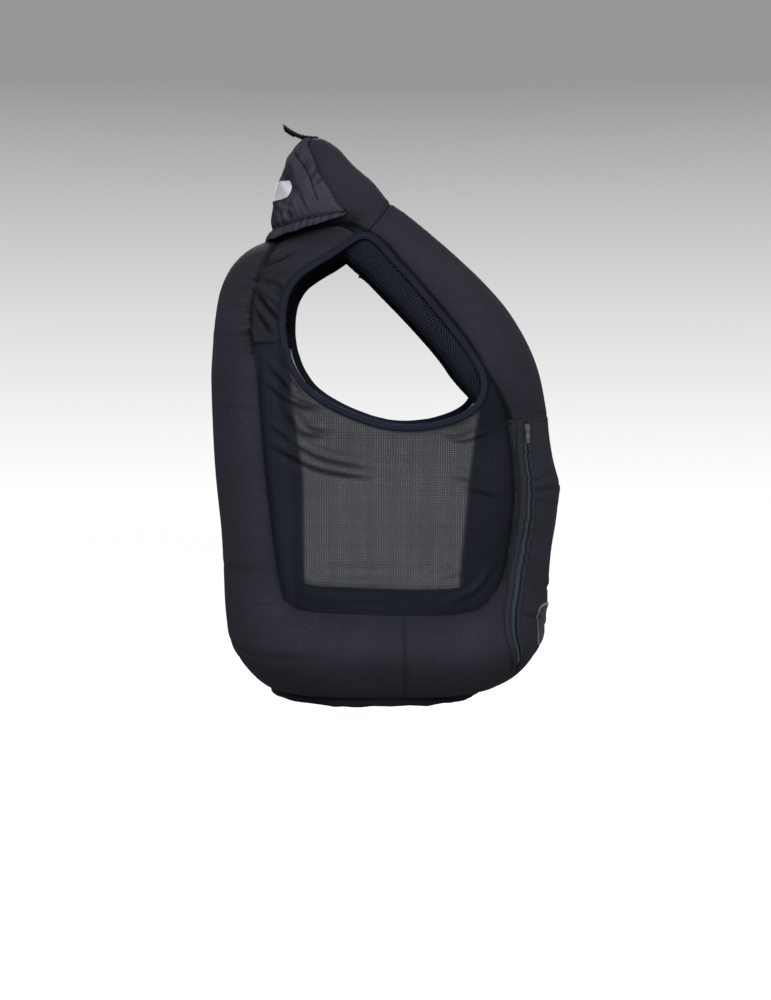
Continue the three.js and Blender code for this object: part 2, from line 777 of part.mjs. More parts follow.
// Shoulder yoke: plain cloth from the back pad and the collar to the armhole
function shoulderYoke() {
  const lowShare = (yokeLowUp - backCornerUp) / (backShoulderUp - backCornerUp);
  const padSide = (t) => {
    const split = 0.62;
    const onTop = Math.max((t - split) / (1 - split), 0);
    const point = t < split
      ? backSeamPoint(blend(lowShare + 0.004, 1, t / split))
      : backTopPoint(blend(0, 0.5, onTop));
    const shift = right(0, 3.5 * seamInset * (1 - onTop), 2 * seamInset * Math.min(3 * onTop, 1));
    return point.add(shift);
  };
  const armSide = (t) => armholeEdge(blend(yokeLowPlace, 13.6, t), rimClearance);
  const collarFoot = (s) => {
    const place = blend(middleAt - 1.1, shoulderAt + 0.35, s);
    const foot = upperPoint(place, 0, "inner", -1);
    return foot.add(new THREE.Vector3(0, 0, -2.5));
  };
  const high = (s) => {
    const point = collarFoot(s);
    point.lerp(padSide(1), Math.max(1 - s * 5, 0));
    return point.lerp(armSide(1), Math.max(s * 5 - 4, 0));
  };
  const patch = (s, t) => {
    const toCollar = high(s).sub(padSide(1).lerp(armSide(1), s));
    return padSide(t).lerp(armSide(t), s).addScaledVector(toCollar, t ** 3);
  };
  return patchSolid(8, 8, patch, clothWall);
}
addPair("yoke", shoulderYoke(), "shellCloth");

// Pouch over the back of the collar, with its gathered hem band
function pouchPlace(across, low) {
  const reach = blend(pouchFootTurn, pouchRimTurn, ((low - pouchLow) / (pouchHigh - pouchLow)) ** 0.8);
  return blend(shoulderAt + reach, leftShoulderAt - reach, across);
}

function pouchPoint(across, low, extra) {
  const place = pouchPlace(across, low);
  const loose = Math.sin(Math.PI * Math.min(Math.max((low - pouchLow) / (pouchHigh - pouchLow), 0), 1));
  const slack = pouchSlack * loose * Math.sin(Math.PI * across) ** 0.5;
  const point = upperPoint(place, low, "outer");
  return point.addScaledVector(upperNormal(place, low, "outer"), pouchGap + slack + extra);
}

function collarPouch() {
  const columns = 18;
  const rows = 6;
  const layer = (extra) => (c, r) => pouchPoint(c / columns, blend(pouchLow, pouchHigh, r / rows), extra);
  return gridSolid(columns, rows, layer(clothWall), layer(0));
}
addPiece("collar_pouch", collarPouch(), "pouchCloth");

function pouchHemBand() {
  const columns = 44;
  const rows = 2;
  const layer = (extra) => (c, r) => {
    const across = c / columns;
    const down = r / rows;
    const place = pouchPlace(across, pouchLow);
    const normal = upperNormal(place, pouchLow, "outer");
    const inward = upperPoint(place, pouchLow + 0.08, "outer").sub(upperPoint(place, pouchLow, "outer"));
    const ruffle = gatherDepth * Math.cos(2 * Math.PI * gatherCount * across) * down;
    const end = 0.35 + 0.65 * Math.sin(Math.PI * across) ** 0.7;
    const point = pouchPoint(across, pouchLow, extra + hemBandFlare * down * end + ruffle);
    return point.addScaledVector(inward.normalize(), -2 * gap - hemBandLength * down * end);
  };
  return gridSolid(columns, rows, layer(clothWall), layer(0));
}
addPiece("pouch_hem_band", pouchHemBand(), "pouchCloth");

// Plain pale patch on the back of the pouch
function collarLabel() {
  const columns = 10;
  const rows = 2;
  const layer = (extra) => (c, r) => {
    const low = blend(labelLow, labelHigh, r / rows);
    const from = pouchPlace(0, low);
    const span = pouchPlace(1, low) - from;
    const place = blend(middleAt - labelHalfWidth, middleAt + labelHalfWidth, c / columns);
    return pouchPoint((place - from) / span, low, clothWall + gap * 2 + extra);
  };
  return gridSolid(columns, rows, layer(0.9), layer(0));
}
addPiece("collar_label", collarLabel(), "paleLabel");

// Closing tab on the top edge of the collar, with the hook patch under its end
const tabCurve = new THREE.CatmullRomCurve3(tabSections.map((row) => right(0, row.forward, row.up)));

function tabStrip(from, to, halfWidth, low, high, rows) {
  const layer = (height) => (c, r) => {
    const share = blend(from, to, r / rows);
    const along = tabCurve.getTangent(share);
    const lift = new THREE.Vector3(1, 0, 0).cross(along).normalize();
    lift.multiplyScalar(lift.z < 0 ? -height : height);
    return tabCurve.getPoint(share).add(lift).setX(blend(-halfWidth, halfWidth, c / 4));
  };
  return gridSolid(4, rows, layer(high), layer(low));
}
addPiece("collar_tab", tabStrip(0, 1, tabHalfWidth, 0, tabWall, 8), "pouchCloth");
addPiece("tab_hook_patch", tabStrip(0.66, 0.94, tabHalfWidth - 4, -gap - 2, -gap, 3), "hookTape");

// Access zip on the right front tube
function zipTurn(up) {
  let low = 0.33;
  let high = up > cornerUp ? turnAt(frontSeamAt(up), up) : 1.2;
  for (let i = 0; i < 40; i += 1) {
    const middle = (low + high) / 2;
    if (-padPoint(middle, up, "outer").y > zipForwardAt(up)) {
      low = middle;
    } else {
      high = middle;
    }
  }
  return (low + high) / 2;
}

function zipFrame(up) {
  const turn = zipTurn(up);
  const point = padPoint(turn, up, "outer");
  const over = padPoint(turn + 0.01, up, "outer").sub(padPoint(turn - 0.01, up, "outer"));
  const perTurn = over.length() / 0.02;
  const upper = padPoint(zipTurn(up + 3), up + 3, "outer");
  const along = upper.sub(padPoint(zipTurn(up - 3), up - 3, "outer")).normalize();
  const face = along.clone().cross(over).normalize();
  return { turn, point, perTurn, along, face };
}

function zipStrip(half, low, high, columns, rows, fromUp, toUp) {
  const layer = (height) => (c, r) => {
    const up = blend(fromUp, toUp, r / rows);
    const { turn, perTurn } = zipFrame(up);
    const shifted = turn + (blend(-half, half, c / columns)) / perTurn;
    const over = padPoint(shifted + 0.01, up, "outer").sub(padPoint(shifted - 0.01, up, "outer"));
    const along = padPoint(shifted, up + 3, "outer").sub(padPoint(shifted, up - 3, "outer"));
    const face = along.cross(over).normalize();
    return padPoint(shifted, up, "outer").addScaledVector(face, height);
  };
  return gridSolid(columns, rows, layer(high), layer(low));
}
const tapeTop = zipGap + tapeWall;
const coilTop = tapeTop + gap + coilHeight;
const coilTopUp = zipTopUp - sliderLength - 2;
addPiece("zip_tape", zipStrip(tapeHalf, zipGap, tapeTop, 2, 22, zipBottomUp, zipTopUp), "zipTapeCloth");
addPiece("zip_coil", zipStrip(coilHalf, tapeTop + gap, coilTop, 2, 22, zipBottomUp + 2, coilTopUp), "zipCoil");

// Slider and pull stand in the zip's own frame: x across, y up along the zip, z out of the cloth
function zipPlacement() {
  const up = zipTopUp - sliderLength / 2 - 1;
  const { point, along, face } = zipFrame(up);
  const across = along.clone().cross(face).normalize();
  const matrix = new THREE.Matrix4().makeBasis(across, along, face);
  return matrix.setPosition(point.addScaledVector(face, tapeTop + gap * 2));
}

function toManifold(geometry) {
  const bare = new THREE.BufferGeometry();
  bare.setAttribute("position", geometry.getAttribute("position"));
  if (geometry.index) {
    bare.setIndex(geometry.index);
  }
  const merged = mergeVertices(bare, 1e-4);
  const mesh = new wasm.Mesh({
    numProp: 3,
    vertProperties: new Float32Array(merged.attributes.position.array),
    triVerts: new Uint32Array(merged.index.array),
  });
  return new wasm.Manifold(mesh);
}

function fromManifold(solid) {
  const mesh = solid.getMesh();
  const geometry = new THREE.BufferGeometry();
  geometry.setAttribute("position", new THREE.Float32BufferAttribute(mesh.vertProperties, 3));
  geometry.setIndex(Array.from(mesh.triVerts));
  geometry.computeVertexNormals();
  return geometry;
}

function sliderGeometry() {
  const half = sliderLength / 2;
  const outline = new THREE.Shape();
  outline.moveTo(-sliderHalfWidth * 0.7, -half);
  outline.lineTo(sliderHalfWidth * 0.7, -half);
  outline.lineTo(sliderHalfWidth, 0);
  outline.lineTo(sliderHalfWidth, half * 0.6);
  outline.lineTo(sliderHalfWidth * 0.5, half);
  outline.lineTo(-sliderHalfWidth * 0.5, half);
  outline.lineTo(-sliderHalfWidth, half * 0.6);
  outline.lineTo(-sliderHalfWidth, 0);
  outline.closePath();
  const body = new THREE.ExtrudeGeometry(outline, { depth: sliderHeight, bevelEnabled: false });
  const arch = new THREE.Shape();
  const top = sliderHeight + archRoom + archWall;
  arch.moveTo(-archHalfLength, sliderHeight - 1);
  arch.lineTo(archHalfLength, sliderHeight - 1);
  arch.lineTo(archHalfLength, top - archWall);
  arch.lineTo(archHalfLength - archWall, top);
  arch.lineTo(-archHalfLength + archWall, top);
  arch.lineTo(-archHalfLength, top - archWall);
  arch.closePath();
  const room = new THREE.Path();
  const reach = archHalfLength - archWall;
  room.moveTo(-reach, sliderHeight);
  room.lineTo(-reach, sliderHeight + archRoom);
  room.lineTo(reach, sliderHeight + archRoom);
  room.lineTo(reach, sliderHeight);
  room.closePath();
  arch.holes.push(room);
  const handle = new THREE.ExtrudeGeometry(arch, { depth: 2 * archHalfWidth, bevelEnabled: false });
  handle.translate(0, 0, -archHalfWidth);
  handle.applyMatrix4(new THREE.Matrix4().makeBasis(
    new THREE.Vector3(0, 1, 0), new THREE.Vector3(0, 0, 1), new THREE.Vector3(1, 0, 0)));
  return fromManifold(toManifold(body).add(toManifold(handle)));
}

// The pull hangs down the zip from its bar, which lies under the slider's arch
const pullBarHeight = sliderHeight + archRoom / 2;

function pullGeometry() {
  const plate = new THREE.Shape();
  plate.moveTo(-pullHalfWidth, pullBarHalf);
  plate.lineTo(-pullHalfWidth, -pullWindowEnd - 1);
  plate.lineTo(-pullHalfWidth * 0.8, -pullLength + 2);
  plate.lineTo(-pullHalfWidth * 0.4, -pullLength);
  plate.lineTo(pullHalfWidth * 0.4, -pullLength);
  plate.lineTo(pullHalfWidth * 0.8, -pullLength + 2);
  plate.lineTo(pullHalfWidth, -pullWindowEnd - 1);
  plate.lineTo(pullHalfWidth, pullBarHalf);
  plate.closePath();
  const window = new THREE.Path();
  window.moveTo(-pullWindowHalf, -pullBarHalf);
  window.lineTo(pullWindowHalf, -pullBarHalf);
  window.lineTo(pullWindowHalf, -pullWindowEnd);
  window.lineTo(-pullWindowHalf, -pullWindowEnd);
  window.closePath();
  const eyeCorners = Array.from({ length: 10 }, (_, i) => (-2 * Math.PI * i) / 10);
  const eye = new THREE.Path(eyeCorners.map((a) => new THREE.Vector2(
    pullEyeRadius * Math.cos(a), pullEyeRadius * Math.sin(a) - pullLength + 4)));
  plate.holes.push(window, eye);
  const geometry = new THREE.ExtrudeGeometry(plate, { depth: pullWall, bevelEnabled: false });
  geometry.translate(0, 0, pullBarHeight - pullWall / 2);
  return fromManifold(toManifold(geometry));
}

const zipMatrix = zipPlacement();
addPiece("zip_slider", sliderGeometry().applyMatrix4(zipMatrix), "metal");
addPiece("zip_pull", pullGeometry().applyMatrix4(zipMatrix), "metal");

// Plain closing strip between the two front tubes
function centreClosure() {
  const rows = 12;
  const layer = (height) => (c, r) => {
    const up = blend(hemUp + gap, chestSeamUp + 8, r / rows);
    const reach = -bodyPoint(0, up).y + height;
    return right(blend(-1, 1, c / 2) * (closureHalf - gap * 1.5), reach, up);
  };
  return gridSolid(2, rows, layer(seamHalf), layer(-seamHalf));
}
addPiece("centre_closure", centreClosure(), "bindingTape");

// Plain patch low on the right front
function frontPatch() {
  const cells = 6;
  const layer = (height) => (c, r) => {
    const a = blend(-1, 1, c / cells);
    const b = blend(-1, 1, r / cells);
    const rounded = 1 - 0.14 * (a * b) ** 2;
    const up = patchMiddle.up + b * rounded * patchHalfUp;
    const side = patchMiddle.side + a * rounded * patchHalfSide;
    const turn = Math.atan2(side, frontAt(up) - axisForward);
    const over = padPoint(turn + 0.01, up, "outer").sub(padPoint(turn - 0.01, up, "outer"));
    const along = padPoint(turn, up + 3, "outer").sub(padPoint(turn, up - 3, "outer"));
    return padPoint(turn, up, "outer").addScaledVector(along.cross(over).normalize(), height);
  };
  return gridSolid(cells, cells, layer(overlayGap + patchWall), layer(overlayGap));
}
addPiece("front_patch", frontPatch(), "patchCloth");

export default vest;
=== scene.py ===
import bpy
import math
import numpy as np
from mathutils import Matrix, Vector


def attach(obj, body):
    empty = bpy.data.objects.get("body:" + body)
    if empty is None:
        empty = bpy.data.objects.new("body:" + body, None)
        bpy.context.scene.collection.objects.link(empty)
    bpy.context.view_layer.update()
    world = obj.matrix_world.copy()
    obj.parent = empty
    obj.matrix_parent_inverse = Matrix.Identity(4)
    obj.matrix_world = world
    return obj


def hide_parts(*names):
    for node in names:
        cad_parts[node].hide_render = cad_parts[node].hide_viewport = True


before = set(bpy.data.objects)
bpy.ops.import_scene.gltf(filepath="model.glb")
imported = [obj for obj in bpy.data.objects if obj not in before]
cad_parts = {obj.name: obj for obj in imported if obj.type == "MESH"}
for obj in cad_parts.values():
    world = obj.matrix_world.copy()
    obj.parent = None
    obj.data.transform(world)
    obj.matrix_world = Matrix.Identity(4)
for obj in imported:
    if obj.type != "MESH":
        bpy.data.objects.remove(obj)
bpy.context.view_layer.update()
scene = bpy.context.scene
mm = 0.001


def linked(name, data):  # a new object in the scene
    thing = bpy.data.objects.new(name, data)
    scene.collection.objects.link(thing)
    return thing


def aimed(thing, spec, key):  # stands at one point and looks at another
    thing.location = spec[key]
    thing.rotation_mode = "QUATERNION"
    thing.rotation_quaternion = (Vector(spec["aim"]) - Vector(spec[key])).to_track_quat("-Z", "Y")


# Camera at the photograph's place, on the wearer's right
cameraSpec = {"eye": (-2.6, -0.0169, -0.1925), "aim": (0.0, -0.0169, -0.33), "lens": 75.0, "sensor": 36.0}
cameraData = bpy.data.cameras.new("camera")
cameraData.lens = cameraSpec["lens"]
cameraData.sensor_width = cameraSpec["sensor"]
scene.camera = linked("camera", cameraData)
aimed(scene.camera, cameraSpec, "eye")
scene.view_settings.view_transform = "Standard"


# Small helpers for points, in millimetres until a mesh is made
def rightPoint(side, forward, up):  # the wearer's right is -X and the front is -Y
    parts = np.broadcast_arrays(-np.asarray(side, float), -np.asarray(forward, float), np.asarray(up, float))
    return np.stack(parts, axis=-1)


def blend(start, end, share):
    return start + (end - start) * share


def eased(share):
    return (1 - np.cos(np.pi * np.asarray(share, float))) / 2


def unit(v):
    return v / np.maximum(np.linalg.norm(v, axis=-1, keepdims=True), 1e-9)


def bump(x, middle, width):
    return np.exp(-((x - middle) / width) ** 2)


def between(x, low, high, soft):  # 1 between low and high, with soft ends
    a = np.clip((x - low) / soft + 0.5, 0, 1)
    b = np.clip((high - x) / soft + 0.5, 0, 1)
    return a * a * (3 - 2 * a) * b * b * (3 - 2 * b)


noiseTable = np.random.default_rng(7).uniform(-1, 1, (97, 97))


def softNoise(x, y, seed=0):  # smooth noise from -1 to 1
    x, y = np.broadcast_arrays(np.asarray(x, float) + 17.3 * seed, np.asarray(y, float) + 5.7 * seed)
    i, j = np.floor(x).astype(int), np.floor(y).astype(int)
    u, v = x - i, y - j
    u, v = u * u * (3 - 2 * u), v * v * (3 - 2 * v)
    low = blend(noiseTable[i % 97, j % 97], noiseTable[(i + 1) % 97, j % 97], u)
    high = blend(noiseTable[i % 97, (j + 1) % 97], noiseTable[(i + 1) % 97, (j + 1) % 97], u)
    return blend(low, high, v)


def column(keys, values):  # smooth curve through one column of a table
    k, v = np.array(keys, float), np.array(values, float)
    low, high = np.r_[0, 0:len(k) - 1], np.r_[1:len(k), len(k) - 1]
    slope = (v[high] - v[low]) / (k[high] - k[low])

    def at(x):
        x = np.asarray(x, float)
        i = np.searchsorted(k[1:-1], x)
        span = k[i + 1] - k[i]
        t = np.clip((x - k[i]) / span, 0, 1)
        ease = slope[i] * span * t * (1 - t) ** 2 - slope[i + 1] * span * t * t * (1 - t)
        return blend(v[i], v[i + 1], t * t * (3 - 2 * t)) + ease
    return at


def splinePoint(points, place, closed=False):  # smooth curve through points of shape (count, ..., 3)
    count = len(points)
    place = np.asarray(place, float)
    if closed:
        i = np.floor(place).astype(int)
        picks = [points[(i + k) % count] for k in (-1, 0, 1, 2)]
    else:
        padded = np.concatenate([2 * points[:1] - points[1:2], points, 2 * points[-1:] - points[-2:-1]])
        i = np.clip(np.floor(place).astype(int), 0, count - 2)
        if points.ndim == 3:  # a column of points of its own for each place
            each = np.arange(points.shape[1])
            picks = [padded[i + k, each] for k in (0, 1, 2, 3)]
        else:
            picks = [padded[i + k] for k in (0, 1, 2, 3)]
    t = (place - i)[..., None]
    before, here, there, after = picks
    a, b = 0.5 * (there - before), 0.5 * (after - here)
    return here + a * t + (3 * there - 3 * here - 2 * a - b) * t ** 2 + (2 * here - 2 * there + a + b) * t ** 3


def nearestOnLine(line, points):  # distance to a line of points, and the length along it of the nearest place
    flat = points.reshape(-1, 3)
    start, step = line[:-1], line[1:] - line[:-1]
    lengths = np.linalg.norm(step, axis=1)
    begins = np.r_[0, np.cumsum(lengths)[:-1]]
    distance, along = np.empty(len(flat)), np.empty(len(flat))
    for at in range(0, len(flat), 6000):
        rel = flat[at:at + 6000, None, :] - start[None]
        t = np.clip((rel * step).sum(-1) / np.maximum(lengths ** 2, 1e-9), 0, 1)
        gaps = np.linalg.norm(rel - t[..., None] * step, axis=-1)
        best = gaps.argmin(1)
        each = np.arange(len(best))
        distance[at:at + 6000] = gaps[each, best]
        along[at:at + 6000] = begins[best] + t[each, best] * lengths[best]
    return distance.reshape(points.shape[:-1]), along.reshape(points.shape[:-1])


def mirrored(points):
    return points * np.array([-1.0, 1.0, 1.0])


def evenGrid(first, second):  # each is a start, an end and the number of steps
    return np.meshgrid(*(np.linspace(start, end, steps + 1) for start, end, steps in (first, second)), indexing="ij")


def lengthAlong(line):  # running length at each point of a line
    return np.r_[0, np.cumsum(np.linalg.norm(np.diff(line, axis=0), axis=1))]


def facingRight(normals):  # each turned to the wearer's right
    return normals * np.where(normals[..., :1] > 0, -1, 1)


# Meshes: one wall between an outer and an inner grid, a swept ring, and their cloth coordinates in metres
meshSpec = {"wallSharp": 50, "bandSharp": 60}  # degrees past which an edge stays sharp


def setValues(mesh, name, values):  # one number for each point
    mesh.attributes.new(name, "FLOAT", "POINT").data.foreach_set("value", np.asarray(values, np.float32).ravel())


def addMesh(name, points, faces, uv, material, sharp, shade=None):
    flat = np.asarray(points).reshape(-1, 3)
    a, b, c, d = (flat[faces[:, k]] for k in range(4))
    if (a * np.cross(b, c)).sum() + (a * np.cross(c, d)).sum() < 0:  # inside out
        faces = faces[:, ::-1]
    mesh = bpy.data.meshes.new(name)
    mesh.from_pydata((flat * mm).tolist(), [], faces.tolist())
    layer = mesh.uv_layers.new(name="cloth")
    picks = np.empty(len(mesh.loops), dtype=np.int32)
    mesh.loops.foreach_get("vertex_index", picks)
    layer.data.foreach_set("uv", (np.asarray(uv).reshape(-1, 2)[picks] * mm).astype(np.float32).ravel())
    if shade is not None:  # painted shade: how deep in a seam or fold each point lies, which darkens its colour
        setValues(mesh, "shade", shade)
    mesh.polygons.foreach_set("use_smooth", np.ones(len(mesh.polygons), dtype=bool))
    mesh.set_sharp_from_angle(angle=math.radians(sharp))
    mesh.validate()
    mesh.materials.append(material)
    return linked(name, mesh)


def wallFaces(present):  # quads of both faces of a wall and of its free edges, for a mask of filled cells
    columns, rows = present.shape
    ids = np.arange((columns + 1) * (rows + 1)).reshape(columns + 1, rows + 1)
    under = ids.size
    a, b, c, d = ids[:-1, :-1], ids[1:, :-1], ids[1:, 1:], ids[:-1, 1:]
    ring = np.stack([a, b, c, d], -1)[present]
    faces = [ring, ring[:, ::-1] + under]
    padded = np.pad(present, 1)
    for (di, dj), (p, q) in (((0, -1), (a, b)), ((1, 0), (b, c)), ((0, 1), (c, d)), ((-1, 0), (d, a))):
        beyond = padded[1 + di:1 + di + columns, 1 + dj:1 + dj + rows]
        free = present & ~beyond
        faces.append(np.stack([q[free], p[free], p[free] + under, q[free] + under], -1))
    return np.concatenate(faces)


def gridWall(name, outer, inner, uv, material, shade=None, present=None):
    if present is None:
        present = np.ones((outer.shape[0] - 1, outer.shape[1] - 1), bool)
    faces = wallFaces(present)
    points = np.concatenate([outer.reshape(-1, 3), inner.reshape(-1, 3)])
    both = np.concatenate([uv.reshape(-1, 2), uv.reshape(-1, 2)])
    used, places = np.unique(faces, return_inverse=True)
    if shade is not None:
        shade = np.concatenate([shade.ravel(), shade.ravel()])[used]
    return addMesh(name, points[used], places.reshape(faces.shape), both[used], material, meshSpec["wallSharp"], shade)


def gridNormals(points):
    across = np.gradient(points, axis=0)
    along = np.gradient(points, axis=1)
    return unit(np.cross(across, along))


def sheetWall(name, middle, wall, uv, material, shade):
    half = gridNormals(middle) * wall / 2
    return gridWall(name, middle + half, middle - half, uv, material, shade)


def sweptBand(name, rings, uv, material):  # a closed band through rings of shape (count, size, 3)
    here = np.arange(rings.shape[0] * rings.shape[1]).reshape(rings.shape[:2])
    after = np.roll(here, -1, axis=0)
    faces = np.stack([here, after, np.roll(after, -1, axis=1), np.roll(here, -1, axis=1)], -1).reshape(-1, 4)
    return addMesh(name, rings, faces, uv, material, meshSpec["bandSharp"])


def addLeft(name, clothShift=None):  # the wearer's left side of a piece, turned the right way out
    mesh = pieces[name + "Right"].data.copy()
    mesh.name = name + "Left"
    places = np.empty(len(mesh.vertices) * 3, dtype=np.float32)
    mesh.vertices.foreach_get("co", places)
    places[0::3] *= -1
    mesh.vertices.foreach_set("co", places)
    mesh.flip_normals()
    if clothShift is not None:
        layer = mesh.uv_layers["cloth"]
        uv = np.empty(len(mesh.loops) * 2, dtype=np.float32)
        layer.data.foreach_get("uv", uv)
        layer.data.foreach_set("uv", (uv.reshape(-1, 2) + np.array(clothShift, dtype=np.float32)).ravel())
    pieces[name + "Left"] = linked(name + "Left", mesh)


# Nodes, and the shader groups that the cloths share
def setInputs(tree, node, inputs):  # by name or number: a socket is linked and a value is set
    for label, value in inputs.items():
        if isinstance(value, bpy.types.NodeSocket):
            tree.links.new(value, node.inputs[label])
        else:
            node.inputs[label].default_value = value


def addNode(tree, kind, inputs, **settings):
    node = tree.nodes.new(kind)
    for key, value in settings.items():
        setattr(node, key, value)
    setInputs(tree, node, inputs)
    return node


def newTree(name, kind, inputs, outputs):
    tree = bpy.data.node_groups.new(name, kind)
    for label, socketKind, *value in inputs:
        socket = tree.interface.new_socket(label, in_out="INPUT", socket_type="NodeSocket" + socketKind)
        if value:
            socket.default_value = value[0]
    for label, socketKind in outputs:
        tree.interface.new_socket(label, in_out="OUTPUT", socket_type="NodeSocket" + socketKind)
    return tree, tree.nodes.new("NodeGroupInput").outputs, tree.nodes.new("NodeGroupOutput")


def mathNode(tree, operation, *values, clamp=False):
    return addNode(tree, "ShaderNodeMath", dict(enumerate(values)), operation=operation, use_clamp=clamp).outputs[0]


def noiseNode(tree, vector, scale, detail, rough=0.5):
    inputs = {"Vector": vector, "Scale": scale, "Detail": detail, "Roughness": rough}
    return addNode(tree, "ShaderNodeTexNoise", inputs).outputs[0]


def splitNode(tree, vector):
    return addNode(tree, "ShaderNodeSeparateXYZ", {0: vector}).outputs


def makeWeave():  # over and under threads of a plain weave, on cloth coordinates in metres
    spec = {"wobble": 260.0, "top": 0.7, "cross": 0.3}
    group, given, result = newTree(
        "plainWeave", "ShaderNodeTree", [("Cloth", "Vector"), ("Pitch", "Float", 0.001), ("Slub", "Float", 0.3)],
        [("Height", "Float"), ("Gap", "Float")])
    split = splitNode(group, given["Cloth"])
    wobble = noiseNode(group, given["Cloth"], spec["wobble"], 1.0)
    shift = mathNode(group, "MULTIPLY", mathNode(group, "SUBTRACT", wobble, 0.5), given["Slub"])
    waves = []
    for axis in (0, 1):
        share = mathNode(group, "ADD", mathNode(group, "DIVIDE", split[axis], given["Pitch"]), shift)
        waves.append(mathNode(group, "SINE", mathNode(group, "MULTIPLY", share, math.pi)))
    cross = mathNode(group, "MULTIPLY", *waves)  # which of the two threads lies on top
    rounds = [mathNode(group, "ABSOLUTE", wave) for wave in waves]
    top = mathNode(group, "MULTIPLY", mathNode(group, "MAXIMUM", *rounds), spec["top"])
    height = mathNode(group, "ADD", top, mathNode(group, "MULTIPLY", cross, spec["cross"]))
    gap = mathNode(group, "SUBTRACT", 1.0, mathNode(group, "MINIMUM", *rounds))
    setInputs(group, result, {"Height": height, "Gap": gap})
    return group


def makeMelange():  # uneven dye of yarns: fine flecks over broad soft clouds
    spec = {"Fleck": 3.0, "Cloud": 4.0, "rough": 0.6}
    group, given, result = newTree(
        "melange", "ShaderNodeTree", [("Cloth", "Vector"), ("Fleck", "Float", 900.0), ("Cloud", "Float", 14.0)],
        [("Fleck", "Float"), ("Cloud", "Float")])
    for label in ("Fleck", "Cloud"):
        setInputs(group, result, {label: noiseNode(group, given["Cloth"], given[label], spec[label], spec["rough"])})
    return group


def makeKnit():  # open knit: upright wales with level threads between them
    spec = {"strength": (0.95, 0.8), "long": 0.05, "streak": 420.0, "drift": 60.0, "shift": 1.1,
            "uneven": 0.45, "edge": 3.0}
    group, given, result = newTree(
        "openKnit", "ShaderNodeTree", [("Cloth", "Vector"), ("Pitch", "Float", 0.002), ("Thread", "Float", 0.35)],
        [("Hole", "Float"), ("Height", "Float")])
    split = splitNode(group, given["Cloth"])
    threads = []
    for axis, strength in enumerate(spec["strength"]):
        scale = (1.0, spec["long"], 1.0) if axis == 0 else (spec["long"], 1.0, 1.0)  # uneven yarns show as long streaks
        stretch = addNode(group, "ShaderNodeMapping", {"Scale": scale, "Vector": given["Cloth"]}).outputs[0]
        streak = noiseNode(group, stretch, spec["streak"], 2.0)
        drift = noiseNode(group, stretch, spec["drift"], 1.0)
        share = mathNode(group, "DIVIDE", split[axis], given["Pitch"])
        share = mathNode(group, "MULTIPLY_ADD", mathNode(group, "SUBTRACT", drift, 0.5), spec["shift"], share)
        wave = mathNode(group, "ABSOLUTE", mathNode(group, "SINE", mathNode(group, "MULTIPLY", share, math.pi)))
        wave = mathNode(group, "MULTIPLY_ADD", mathNode(group, "SUBTRACT", streak, 0.5), spec["uneven"], wave)
        edge = mathNode(group, "MULTIPLY", mathNode(group, "SUBTRACT", wave, given["Thread"]), spec["edge"], clamp=True)
        threads.append(mathNode(group, "MULTIPLY_ADD", mathNode(group, "SUBTRACT", 1.0, edge), -strength, 1.0))
    hole = mathNode(group, "MULTIPLY", *threads)
    setInputs(group, result, {"Hole": hole, "Height": mathNode(group, "SUBTRACT", 1.0, hole)})
    return group


weaveGroup, melangeGroup, knitGroup = makeWeave(), makeMelange(), makeKnit()


def useGroup(tree, group, cloth, values):
    return addNode(tree, "ShaderNodeGroup", {"Cloth": cloth, **values}, node_tree=group).outputs


def colourMix(tree, factor, first, second):  # each end is a colour or a socket
    ends = [end if isinstance(end, bpy.types.NodeSocket) else (*end, 1) for end in (first, second)]
    return addNode(tree, "ShaderNodeMix", {0: factor, 6: ends[0], 7: ends[1]}, data_type="RGBA").outputs[2]


def startMaterial(name):
    material = bpy.data.materials.new(name)
    material.use_nodes = True
    tree = material.node_tree
    return material, tree, tree.nodes["Principled BSDF"]


def clothPlace(tree):
    return addNode(tree, "ShaderNodeUVMap", {}, uv_map="cloth").outputs[0]


def objectPlace(tree):
    return tree.nodes.new("ShaderNodeTexCoord").outputs["Object"]


def bumpNormal(tree, height, distance):
    return addNode(tree, "ShaderNodeBump", {"Distance": distance, "Strength": 1.0, "Height": height}).outputs[0]


def attributeNode(tree, name):
    return addNode(tree, "ShaderNodeAttribute", {}, attribute_name=name).outputs["Fac"]


def withPaintedShade(tree, colour, dark):  # painted shade: cloth is darker deep in its seams and folds, where shade falls
    depth = (0.12, 0.12, 0.14)
    return colourMix(tree, attributeNode(tree, "shade"), colour, [part * share for part, share in zip(dark, depth)])


